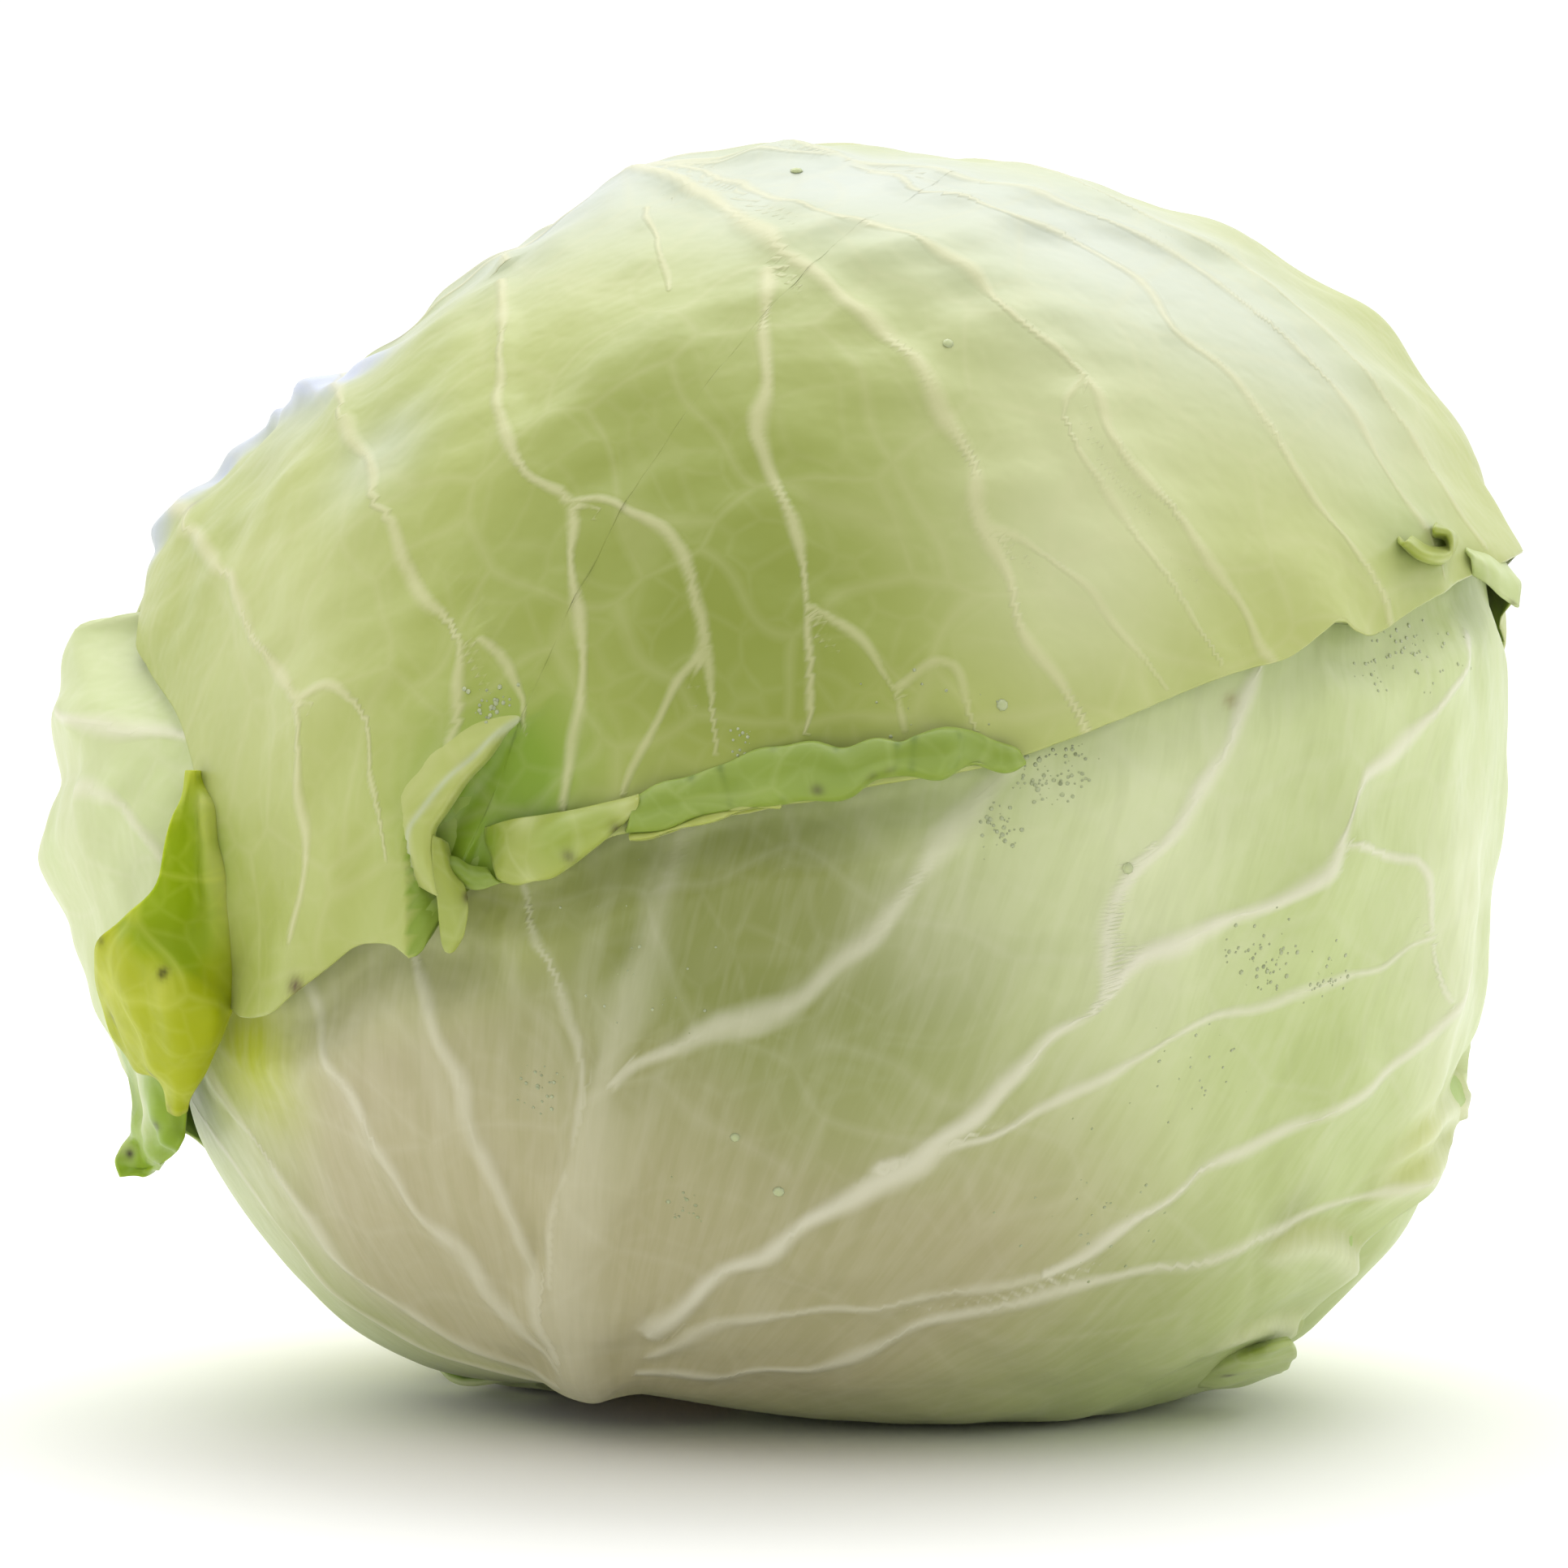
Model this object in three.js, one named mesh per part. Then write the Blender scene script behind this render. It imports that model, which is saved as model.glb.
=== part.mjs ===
// A cabbage head lying on its side: five wrapper leaves laid over each other round
// a tight inner head, with the cut stalk showing underneath at the left.
// Millimetres, +Z up, the front of the head towards -Y. The origin is the middle of
// the flattened spot that the head rests on, straight below the head's middle.
import * as THREE from 'three';

const DEG = Math.PI / 180;

// The head: mean radius seen from the front, half of its depth, height of its
// middle, and the slow waves that turn the front outline from a circle into the
// real outline (cosine part and sine part of each wave, once round, twice round...).
const FRONT_RADIUS = 82.4;
const DEPTH_RADIUS = 81;
const MIDDLE_HEIGHT = 74.3;
const OUTLINE_WAVES = [[2.9, -3.7], [2.7, 2.2], [-1.4, -1.0], [-1.6, 0.8], [-0.7, 1.2]];
const FLAT_BLEND = 4;
const CROWN_DIRECTION = new THREE.Vector3(-0.3, 0.5, 0.8);

// The stalk: where it leaves the head, and the hollow that the leaf bases make round it.
const STALK_DIRECTION = new THREE.Vector3(-0.27, -0.2, -0.94).normalize();
const STALK_RADIUS = 12;
const STALK_FACE = 73.4;
const STALK_LENGTH = 7;
const HOLLOW_DEPTH = 5;
const HOLLOW_WIDTH = 14;

// The stalk's section: radius and height of each corner, from the axis at its foot
// out, up the side and back over the cut face.
const STALK_PROFILE = [
  [0, 0],
  [STALK_RADIUS - 2.5, 0],
  [STALK_RADIUS - 0.6, STALK_LENGTH * 0.4],
  [STALK_RADIUS, STALK_LENGTH * 0.75],
  [STALK_RADIUS - 1, STALK_LENGTH - 0.4],
  [STALK_RADIUS * 0.55, STALK_LENGTH],
  [0, STALK_LENGTH],
];
const STALK_SIDES = 24;

// The leaves: thickness, air between two leaves, how far past its margin a leaf
// presses down those below it, and the angle from the stalk where the blades start.
const LEAF_THICKNESS = 1.0;
const LEAF_GAP = 0.85;
const LAYER = LEAF_THICKNESS + LEAF_GAP;
const PRESS_PAD = 7;
const PRESS_RAMP = 9;
const BASE_ANGLE = 9.8;
const OUTLINE_STEPS = 90;

// Ribs: height and spacing in columns, the part of the midrib's height beside it, the
// angle from the stalk at which its place across a leaf is measured, how fast ribs
// fade towards the sides and the tip, and the angles over which they come up.
const RIB_HEIGHT = 1.0;
const RIB_EVERY = 3;
const MIDRIB_SHOULDER = 0.25;
const MIDRIB_MEASURED_AT = 45;
const SIDE_FADE = 8;
const TIP_FADE = 5;
const CROWN_RELIEF_START = 12;
const CROWN_RELIEF_RISE = 25;

// Ripple along a leaf's margin: its height, its turn from column to column and along
// the leaf, and the angles from the stalk over which it comes up.
const EDGE_RIPPLE = 1.3;
const RIPPLE_PER_COLUMN = 1.9;
const RIPPLE_ALONG = 7;
const RIPPLE_START = 20;
const RIPPLE_RISE = 15;

// The left leaf's bulge: height, where it is highest, how far it reaches either way,
// its waves, and how far from the leaf over it the bulge starts and comes up.
const BULGE_HEIGHT = 12.5;
const BULGE_TURN = -100;
const BULGE_TURN_REACH = 17;
const BULGE_ANGLE = 66;
const BULGE_ANGLE_REACH = 19;
const BULGE_WAVE = 0.12;
const BULGE_WAVE_FROM = 52;
const BULGE_WAVE_RATE = 0.27;
const BULGE_START = 3;
const BULGE_RISE = 8;

// The blade direction at the top leaf's rim is taken from this part of its length on.
const RIM_MEASURED_FROM = 0.97;

// The inner head: gap to the leaves over it, grid, height and number of its ribs, the
// step of the leaf edge that winds round it and how steeply it winds, and the seat of
// the stalk with its clearance and the angle that it takes up.
const INNER_GAP = 1.1;
const INNER_COLUMNS = 40;
const INNER_RINGS = 18;
const INNER_RIB = 0.5;
const INNER_RIB_COUNT = 10;
const INNER_EDGE = 1.2;
const INNER_WINDING = 3;
const INNER_SEAT = STALK_FACE - STALK_LENGTH;
const SEAT_CLEARANCE = 0.3;
const SEAT_ANGLE = 20;

const FRONT = new THREE.Vector3(0, -1, 0);
const middle = new THREE.Vector3(0, 0, MIDDLE_HEIGHT);

function clamp(x, low, high) {
  return Math.min(high, Math.max(low, x));
}

function ease(x) {
  const t = clamp(x, 0, 1);
  return t * t * (3 - 2 * t);
}

// Smooth curve through [x, y] knots: cubic pieces whose slope at a knot is the
// slope between its two neighbours.
function curve(knots, x) {
  const last = knots.length - 1;
  if (x <= knots[0][0]) return knots[0][1];
  if (x >= knots[last][0]) return knots[last][1];
  let i = 0;
  while (x > knots[i + 1][0]) i += 1;
  const [xa, ya] = knots[i];
  const [xb, yb] = knots[i + 1];
  const slope = (j) => {
    const before = knots[Math.max(0, j - 1)];
    const after = knots[Math.min(last, j + 1)];
    return (after[1] - before[1]) / (after[0] - before[0]);
  };
  const width = xb - xa;
  const t = (x - xa) / width;
  const h = t * t * (3 - 2 * t);
  const rise = t * (1 - t) * (1 - t) * slope(i) - t * t * (1 - t) * slope(i + 1);
  return ya * (1 - h) + yb * h + width * rise;
}

// A polar chart on the head: rho is the angle from the chart's middle, psi the
// angle round it, both in degrees, with psi = 0 on the side of the front.
function makeChart(centre) {
  const c = centre.clone().normalize();
  const zero = FRONT.clone().addScaledVector(c, -FRONT.dot(c)).normalize();
  const quarter = new THREE.Vector3().crossVectors(zero, c);
  return { c, zero, quarter };
}

function fromChart({ c, zero, quarter }, rho, psi) {
  const tangent = zero.clone().multiplyScalar(Math.cos(psi * DEG));
  tangent.addScaledVector(quarter, Math.sin(psi * DEG));
  return c.clone().multiplyScalar(Math.cos(rho * DEG)).addScaledVector(tangent, Math.sin(rho * DEG));
}

function toChart({ c, zero, quarter }, n) {
  const rho = Math.acos(clamp(n.dot(c), -1, 1)) / DEG;
  const psi = Math.atan2(n.dot(quarter), n.dot(zero)) / DEG;
  return [rho, psi];
}

const stalkChart = makeChart(STALK_DIRECTION);
const crownChart = makeChart(CROWN_DIRECTION);

// Radius of the head's outside in the direction n.
function headRadius(n) {
  const round = Math.atan2(n.z, n.x);
  const rim = Math.min(1, n.x * n.x + n.z * n.z);
  let radius = FRONT_RADIUS * rim + DEPTH_RADIUS * (1 - rim);
  OUTLINE_WAVES.forEach(([cosine, sine], i) => {
    const k = i + 1;
    const wave = cosine * Math.cos(k * round) + sine * Math.sin(k * round);
    radius += wave * rim ** (Math.max(k, 2) / 2);
  });
  const fromStalk = toChart(stalkChart, n)[0];
  return radius - HOLLOW_DEPTH * Math.exp(-((fromStalk / HOLLOW_WIDTH) ** 2));
}

// The flattened spot: heights below the floor of a layer are lifted onto it, with
// a short smooth turn. A layer that lies deeper in the head has its floor higher.
function settle(z, floor) {
  const above = z - floor;
  if (above >= FLAT_BLEND) return z;
  if (above <= -FLAT_BLEND) return floor;
  return floor + (above + FLAT_BLEND) ** 2 / (4 * FLAT_BLEND);
}

function pointAt(n, radius, floor) {
  const p = middle.clone().addScaledVector(n, radius);
  p.z = settle(p.z, floor);
  return p;
}

// The leaves from the inside of the head outwards. Four start round the stalk: their
// two sides are given as the angle round the stalk at each angle away from it, and
// their tip as the angle away from the stalk at each fraction across the leaf. The
// top leaf comes over the crown, and its rim is given round the crown.
const leaves = [
  {
    name: 'leaf_back',
    around: 180,
    columns: 26,
    rings: 12,
    left: [[9, 112], [40, 122], [80, 132], [110, 142]],
    right: [[9, 248], [40, 244], [80, 238], [110, 230]],
    tip: [[0, 98], [0.15, 112], [0.5, 122], [0.85, 112], [1, 98]],
    midrib: [[9, 2.5], [60, 1.4], [110, 0.5]],
    colour: '#c3cf94',
  },
  {
    name: 'leaf_right',
    around: 115,
    columns: 26,
    rings: 12,
    left: [[9, 112], [20, 108], [30, 101], [40, 90], [48, 74], [56, 60], [66, 51], [85, 50], [110, 62]],
    right: [[9, 196], [40, 184], [75, 168], [110, 150]],
    tip: [[0, 98], [0.2, 114], [0.5, 124], [0.8, 114], [1, 96]],
    midrib: [[9, 2.5], [60, 1.4], [110, 0.5]],
    colour: '#c9d79a',
  },
  {
    name: 'leaf_front',
    around: 20,
    columns: 44,
    rings: 16,
    left: [[9, -125], [25, -128], [45, -118], [60, -105], [75, -94], [90, -84], [120, -80]],
    right: [
      [9, 168], [20, 152], [30, 131], [40, 110], [48, 95], [55, 84], [62, 77],
      [69, 75], [76, 81], [84, 92], [95, 97], [110, 92], [125, 84],
    ],
    tip: [
      [0, 78], [0.15, 80], [0.22, 78], [0.33, 84], [0.44, 94], [0.5, 99],
      [0.61, 108], [0.72, 119], [0.8, 126], [0.9, 127], [1, 114],
    ],
    midrib: [[9, 4.2], [20, 3.2], [45, 2.0], [75, 1.2], [110, 0.4]],
    midribAt: -11,
    colour: '#d0d8ac',
  },
  {
    name: 'leaf_left',
    around: -115,
    columns: 24,
    rings: 12,
    left: [[9, -168], [40, -166], [60, -160], [80, -150], [100, -140]],
    right: [
      [9, -104], [25, -112], [34, -106], [40, -97], [48, -84], [56, -70],
      [64, -58], [76, -56], [86, -66], [100, -78],
    ],
    tip: [[0, 84], [0.2, 96], [0.5, 102], [0.8, 100], [1, 94]],
    bulge: leftBulge,
    midrib: [[9, 2.5], [60, 1.4], [110, 0.5]],
    colour: '#d3dbb0',
  },
  {
    name: 'leaf_top',
    columns: 56,
    rings: 13,
    // The columns stand closer where the rim changes most.
    columnsAt: [[0, -180], [8, -90], [19, -10], [26, 40], [29, 52], [36, 72], [50, 130], [56, 180]],
    rim: [
      [-180, 96], [-150, 98], [-125, 96], [-100, 95], [-79, 97], [-68, 101], [-58, 108],
      [-47, 111], [-33, 115], [-20, 117], [-2, 115], [11, 113], [24, 111], [38, 109],
      [48, 108], [54, 104], [58, 97], [62, 83], [66, 73], [71, 65], [78, 60], [85, 63],
      [92, 75], [99, 92], [106, 110], [113, 123], [119, 124], [127, 116], [139, 106], [156, 99], [180, 96],
    ],
    // How the rim turns: length of the turned strip, then the angle between it and
    // the blade where it starts and where it ends.
    turnLength: [
      [-180, 3], [-85, 4], [-76, 9], [-69, 8], [-62, 3], [-50, 4], [-44, 3], [-26, 3],
      [-19, 9], [-2, 12], [10, 12], [18, 15], [27, 17], [33, 9], [38, 4], [48, 4],
      [51, 8], [55, 15], [59, 17], [63, 12], [67, 5], [72, 2], [100, 2], [180, 3],
    ],
    turnStart: [
      [-180, 2], [-85, 10], [-76, 30], [-66, 25], [-58, 4], [-28, 4], [-19, 20],
      [10, 25], [20, 45], [28, 50], [35, 15], [46, 6], [51, 12], [55, 28], [59, 42],
      [63, 45], [67, 30], [72, 8], [100, 0], [125, 0], [180, 2],
    ],
    turnEnd: [
      [-180, 8], [-85, 30], [-76, 120], [-66, 110], [-58, 12], [-28, 10], [-19, 190],
      [-2, 235], [10, 235], [18, 185], [27, 170], [35, 60], [44, 12], [51, 10],
      [55, 14], [59, 40], [63, 60], [67, 45], [72, 12], [100, 0], [125, 0], [180, 8],
    ],
    turnSteps: 5,
    midribColumn: 15,
    midrib: [[0, 1.6], [60, 1.2], [115, 0.5]],
    colour: '#cbd99a',
  },
];

// The left leaf stands off the head in a few waves, most where it shows beside it.
function leftBulge(rho, psi) {
  const across = Math.exp(-(((psi - BULGE_TURN) / BULGE_TURN_REACH) ** 2));
  const along = Math.exp(-(((rho - BULGE_ANGLE) / BULGE_ANGLE_REACH) ** 2));
  const waves = 1 + BULGE_WAVE * Math.sin((rho - BULGE_WAVE_FROM) * BULGE_WAVE_RATE);
  return BULGE_HEIGHT * across * along * waves;
}

// Angle round the stalk, taken so that it runs on smoothly across the leaf.
function unwrap(leaf, psi) {
  return leaf.around + (((psi - leaf.around + 540) % 360) - 180);
}

// Straight lines through [x, y] knots.
function straight(knots, x) {
  let i = 0;
  while (i < knots.length - 2 && x > knots[i + 1][0]) i += 1;
  const [xa, ya] = knots[i];
  const [xb, yb] = knots[i + 1];
  return ya + ((x - xa) / (xb - xa)) * (yb - ya);
}

function crownAngle(leaf, across) {
  return straight(leaf.columnsAt, across * leaf.columns);
}

// Direction on a leaf at the fractions across (0 to 1) and along (0 at the base).
function leafDirection(leaf, across, along) {
  if (leaf.rim) {
    const psi = crownAngle(leaf, across);
    const rho = along * curve(leaf.rim, psi);
    return [fromChart(crownChart, rho, psi), rho, psi];
  }
  const rho = BASE_ANGLE + along * (curve(leaf.tip, across) - BASE_ANGLE);
  const left = curve(leaf.left, rho);
  const psi = left + across * (curve(leaf.right, rho) - left);
  return [fromChart(stalkChart, rho, psi), rho, psi];
}

function isUnder(leaf, n) {
  if (leaf.rim) {
    const [rho, psi] = toChart(crownChart, n);
    return rho <= curve(leaf.rim, psi);
  }
  const [rho, psi] = toChart(stalkChart, n);
  const left = curve(leaf.left, rho);
  const across = (unwrap(leaf, psi) - left) / (curve(leaf.right, rho) - left);
  return across >= 0 && across <= 1 && rho <= curve(leaf.tip, across);
}

function outlineOf(leaf) {
  const points = [];
  for (let i = 0; i <= OUTLINE_STEPS; i += 1) {
    const t = i / OUTLINE_STEPS;
    points.push(leafDirection(leaf, t, 1)[0]);
    if (!leaf.rim) {
      points.push(leafDirection(leaf, 0, t)[0]);
      points.push(leafDirection(leaf, 1, t)[0]);
    }
  }
  return points;
}

// Where the midrib crosses a leaf: by its column or its angle, or half way across.
function midribPlace(leaf) {
  if (leaf.rim) return leaf.midribColumn / leaf.columns;
  if (leaf.midribAt === undefined) return 0.5;
  const left = curve(leaf.left, MIDRIB_MEASURED_AT);
  return (leaf.midribAt - left) / (curve(leaf.right, MIDRIB_MEASURED_AT) - left);
}

leaves.forEach((leaf) => {
  leaf.outline = outlineOf(leaf);
  leaf.midribAcross = midribPlace(leaf);
});

// Angle from the direction n to the nearest point of a leaf, 0 under the leaf.
function angleAway(leaf, n) {
  if (isUnder(leaf, n)) return 0;
  const nearest = Math.max(...leaf.outline.map((point) => point.dot(n)));
  return Math.acos(clamp(nearest, -1, 1)) / DEG;
}

// How much a leaf presses down what lies under it in the direction n: 1 below the
// blade and a little past its margin, then down to 0.
function pressOf(leaf, n) {
  return ease((PRESS_PAD + PRESS_RAMP - angleAway(leaf, n)) / PRESS_RAMP);
}

function coverOver(level, n) {
  let cover = 0;
  for (let i = level + 1; i < leaves.length; i += 1) cover += pressOf(leaves[i], n);
  return cover;
}

// Height at which a leaf stands off the head, away from the leaves that lie on it.
function bulgeOf(leaf, n, rho, psi) {
  if (!leaf.bulge) return 0;
  const over = leaves[leaves.length - 1];
  return leaf.bulge(rho, psi) * ease((angleAway(over, n) - BULGE_START) / BULGE_RISE);
}

// Height of the ribs at a column: a midrib, and a lower rib on every third column.
function ribHeight(leaf, column, rho, edge) {
  const midribColumn = Math.round(leaf.midribAcross * leaf.columns);
  if (column === midribColumn) return curve(leaf.midrib, rho);
  if (Math.abs(column - midribColumn) < 2) return MIDRIB_SHOULDER * curve(leaf.midrib, rho);
  const onRib = (column - midribColumn) % RIB_EVERY === 0;
  return onRib ? RIB_HEIGHT * edge : 0;
}

// One grid point of a leaf: the middle of the blade's outside and its inside.
function bladePoint(leaf, level, column, along) {
  const across = column / leaf.columns;
  const [n, rho, psi] = leafDirection(leaf, across, along);
  const cover = coverOver(level, n);
  const bare = 1 - Math.min(1, cover);
  const side = leaf.rim ? 1 : ease(Math.min(across, 1 - across) * SIDE_FADE);
  const edge = ease((1 - along) * TIP_FADE) * side;
  const wave = 0.5 + 0.5 * Math.sin(column * RIPPLE_PER_COLUMN + along * RIPPLE_ALONG);
  const ripple = EDGE_RIPPLE * (1 - edge) * wave;
  let relief = ribHeight(leaf, column, rho, edge);
  if (leaf.rim) relief *= ease((rho - CROWN_RELIEF_START) / CROWN_RELIEF_RISE);
  else relief += ripple * ease((rho - RIPPLE_START) / RIPPLE_RISE);
  const depth = cover * LAYER;
  const outer = headRadius(n) - depth + relief * bare + bulgeOf(leaf, n, rho, psi);
  return [pointAt(n, outer, depth), pointAt(n, outer - LEAF_THICKNESS, depth + LEAF_THICKNESS)];
}

// The turned rim of the top leaf: from the last blade point the section runs on in
// a bend whose angle goes evenly from its start to its end along its length.
function turnedRim(leaf, level, column) {
  const psi = crownAngle(leaf, column / leaf.columns);
  const [outerEdge, innerEdge] = bladePoint(leaf, level, column, 1);
  const [outerBefore, innerBefore] = bladePoint(leaf, level, column, RIM_MEASURED_FROM);
  const start = outerEdge.clone().add(innerEdge).multiplyScalar(0.5);
  const before = outerBefore.clone().add(innerBefore).multiplyScalar(0.5);
  const onward = start.clone().sub(before).normalize();
  const outward = outerEdge.clone().sub(innerEdge);
  outward.addScaledVector(onward, -outward.dot(onward)).normalize();
  const length = curve(leaf.turnLength, psi);
  const first = curve(leaf.turnStart, psi) * DEG;
  const last = curve(leaf.turnEnd, psi) * DEG;
  const step = length / leaf.turnSteps;
  const pairs = [];
  for (let i = 1; i <= leaf.turnSteps; i += 1) {
    const angle = first + (last - first) * ((i - 0.5) / leaf.turnSteps);
    start.addScaledVector(onward, Math.cos(angle) * step);
    start.addScaledVector(outward, Math.sin(angle) * step);
    const facing = first + (last - first) * (i / leaf.turnSteps);
    const normal = outward.clone().multiplyScalar(Math.cos(facing));
    normal.addScaledVector(onward, -Math.sin(facing));
    const half = LEAF_THICKNESS / 2;
    pairs.push([start.clone().addScaledVector(normal, half), start.clone().addScaledVector(normal, -half)]);
  }
  return pairs;
}

// A closed body from vertices and triangles.
function solid(points, triangles) {
  const geometry = new THREE.BufferGeometry();
  const numbers = points.flatMap((p) => [p.x, p.y, p.z]);
  geometry.setAttribute('position', new THREE.Float32BufferAttribute(numbers, 3));
  geometry.setIndex(triangles);
  return geometry;
}

function addQuad(triangles, a, b, c, d) {
  triangles.push(a, b, c, a, c, d);
}

// The same quad of both faces of a blade, each split along the shorter diagonal of
// the outside, so that the two faces stay apart. Point p + 1 is the inside of point p.
function addBlade(points, triangles, a, b, c, d) {
  const straightOn = points[a].distanceTo(points[c]) <= points[b].distanceTo(points[d]);
  const halves = straightOn ? [[a, b, c], [a, c, d]] : [[a, b, d], [b, c, d]];
  halves.forEach(([p, q, r]) => triangles.push(p, q, r, p + 1, r + 1, q + 1));
}

// A leaf that starts at the stalk: outside grid, inside grid and the edge all round.
function sectorLeaf(leaf, level) {
  const { columns, rings } = leaf;
  const points = [];
  const row = columns + 1;
  for (let j = 0; j <= rings; j += 1) {
    for (let i = 0; i <= columns; i += 1) points.push(...bladePoint(leaf, level, i, j / rings));
  }
  const outer = (i, j) => 2 * (j * row + i);
  const inner = (i, j) => outer(i, j) + 1;
  const triangles = [];
  for (let j = 0; j < rings; j += 1) {
    for (let i = 0; i < columns; i += 1) {
      addBlade(points, triangles, outer(i, j), outer(i + 1, j), outer(i + 1, j + 1), outer(i, j + 1));
    }
  }
  for (let i = 0; i < columns; i += 1) {
    addQuad(triangles, inner(i, 0), inner(i + 1, 0), outer(i + 1, 0), outer(i, 0));
    addQuad(triangles, outer(i, rings), outer(i + 1, rings), inner(i + 1, rings), inner(i, rings));
  }
  for (let j = 0; j < rings; j += 1) {
    addQuad(triangles, outer(0, j), outer(0, j + 1), inner(0, j + 1), inner(0, j));
    addQuad(triangles, inner(columns, j), inner(columns, j + 1), outer(columns, j + 1), outer(columns, j));
  }
  return solid(points, triangles);
}

// The leaf over the crown: rings round its middle, then the turned rim.
function crownLeaf(leaf, level) {
  const { columns, rings } = leaf;
  const points = [...bladePoint(leaf, level, 0, 0)];
  const total = rings + leaf.turnSteps;
  for (let i = 0; i < columns; i += 1) {
    for (let j = 1; j <= rings; j += 1) points.push(...bladePoint(leaf, level, i, j / rings));
    turnedRim(leaf, level, i).forEach((pair) => points.push(...pair));
  }
  const outer = (i, j) => 2 * (1 + (i % columns) * total + (j - 1));
  const inner = (i, j) => outer(i, j) + 1;
  const triangles = [];
  for (let i = 0; i < columns; i += 1) {
    triangles.push(0, outer(i + 1, 1), outer(i, 1));
    triangles.push(1, inner(i, 1), inner(i + 1, 1));
    for (let j = 1; j < total; j += 1) {
      addBlade(points, triangles, outer(i, j), outer(i + 1, j), outer(i + 1, j + 1), outer(i, j + 1));
    }
    addQuad(triangles, outer(i, total), outer(i + 1, total), inner(i + 1, total), inner(i, total));
  }
  return solid(points, triangles);
}

// The tight inner head: as deep as all the leaves over it, with the ribs of its own
// leaves running up from the stalk and the step of one leaf edge winding round it.
function innerHead() {
  const points = [];
  const radiusAt = (n, rho, psi) => {
    const depth = coverOver(-1, n) * LAYER + INNER_GAP;
    const ribs = INNER_RIB * Math.cos(INNER_RIB_COUNT * psi * DEG) * Math.sin(rho * DEG);
    const winding = (((psi + INNER_WINDING * rho) % 360) + 360) % 360;
    const step = INNER_EDGE * (winding / 360) * Math.sin(rho * DEG);
    const radius = headRadius(n) - depth - INNER_EDGE - INNER_RIB + ribs + step;
    const held = rho < SEAT_ANGLE ? Math.min(radius, INNER_SEAT - SEAT_CLEARANCE) : radius;
    return [held, depth + INNER_EDGE];
  };
  const add = (rho, psi) => {
    const n = fromChart(stalkChart, rho, psi);
    points.push(pointAt(n, ...radiusAt(n, rho, psi)));
  };
  add(0, 0);
  for (let j = 1; j < INNER_RINGS; j += 1) {
    for (let i = 0; i < INNER_COLUMNS; i += 1) add((j * 180) / INNER_RINGS, (i * 360) / INNER_COLUMNS);
  }
  add(180, 0);
  const at = (i, j) => 1 + (j - 1) * INNER_COLUMNS + (i % INNER_COLUMNS);
  const far = points.length - 1;
  const triangles = [];
  for (let i = 0; i < INNER_COLUMNS; i += 1) {
    triangles.push(0, at(i + 1, 1), at(i, 1));
    triangles.push(far, at(i, INNER_RINGS - 1), at(i + 1, INNER_RINGS - 1));
    for (let j = 1; j < INNER_RINGS - 1; j += 1) {
      addQuad(triangles, at(i, j), at(i + 1, j), at(i + 1, j + 1), at(i, j + 1));
    }
  }
  return solid(points, triangles);
}

// The cut stalk: a short stub whose face looks down and forwards, a little domed.
function stalk() {
  const profile = STALK_PROFILE.map(([x, y]) => new THREE.Vector2(x, y));
  const geometry = new THREE.LatheGeometry(profile, STALK_SIDES);
  const turn = new THREE.Quaternion().setFromUnitVectors(new THREE.Vector3(0, 1, 0), STALK_DIRECTION);
  geometry.applyQuaternion(turn);
  const foot = middle.clone().addScaledVector(STALK_DIRECTION, INNER_SEAT);
  geometry.translate(foot.x, foot.y, foot.z);
  return geometry;
}

function part(name, geometry, colour, roughness) {
  const material = new THREE.MeshStandardMaterial({ color: colour, roughness, metalness: 0 });
  const mesh = new THREE.Mesh(geometry, material);
  mesh.name = name;
  return mesh;
}

const head = new THREE.Group();
head.add(part('inner_head', innerHead(), '#dfe3bd', 0.55));
head.add(part('stalk', stalk(), '#cfc6a0', 0.8));
leaves.forEach((leaf, level) => {
  const geometry = leaf.rim ? crownLeaf(leaf, level) : sectorLeaf(leaf, level);
  head.add(part(leaf.name, geometry, leaf.colour, 0.45));
});

export default head;
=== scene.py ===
# A green cabbage head lying on its side on a pale floor. The wrapper leaves are thin
# sheets laid over a tight inner head; their ribs, folds and margins are worked out on
# the head's own curved surface. Lengths are in millimetres until a mesh is made.
import math

import bpy
import numpy as np
from mathutils import Matrix


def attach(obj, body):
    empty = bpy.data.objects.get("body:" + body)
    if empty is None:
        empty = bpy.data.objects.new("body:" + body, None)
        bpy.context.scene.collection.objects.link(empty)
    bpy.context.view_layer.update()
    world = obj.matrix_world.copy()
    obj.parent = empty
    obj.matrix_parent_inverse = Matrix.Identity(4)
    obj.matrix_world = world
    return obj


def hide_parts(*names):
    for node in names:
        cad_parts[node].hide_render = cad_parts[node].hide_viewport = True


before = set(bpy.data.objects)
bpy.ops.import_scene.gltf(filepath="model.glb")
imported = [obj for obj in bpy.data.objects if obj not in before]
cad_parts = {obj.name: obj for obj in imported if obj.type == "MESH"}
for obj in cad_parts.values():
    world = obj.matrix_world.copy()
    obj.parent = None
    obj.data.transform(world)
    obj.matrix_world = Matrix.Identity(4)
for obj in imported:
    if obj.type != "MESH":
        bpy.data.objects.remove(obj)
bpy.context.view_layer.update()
metre = 0.001  # one millimetre in metres


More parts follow.
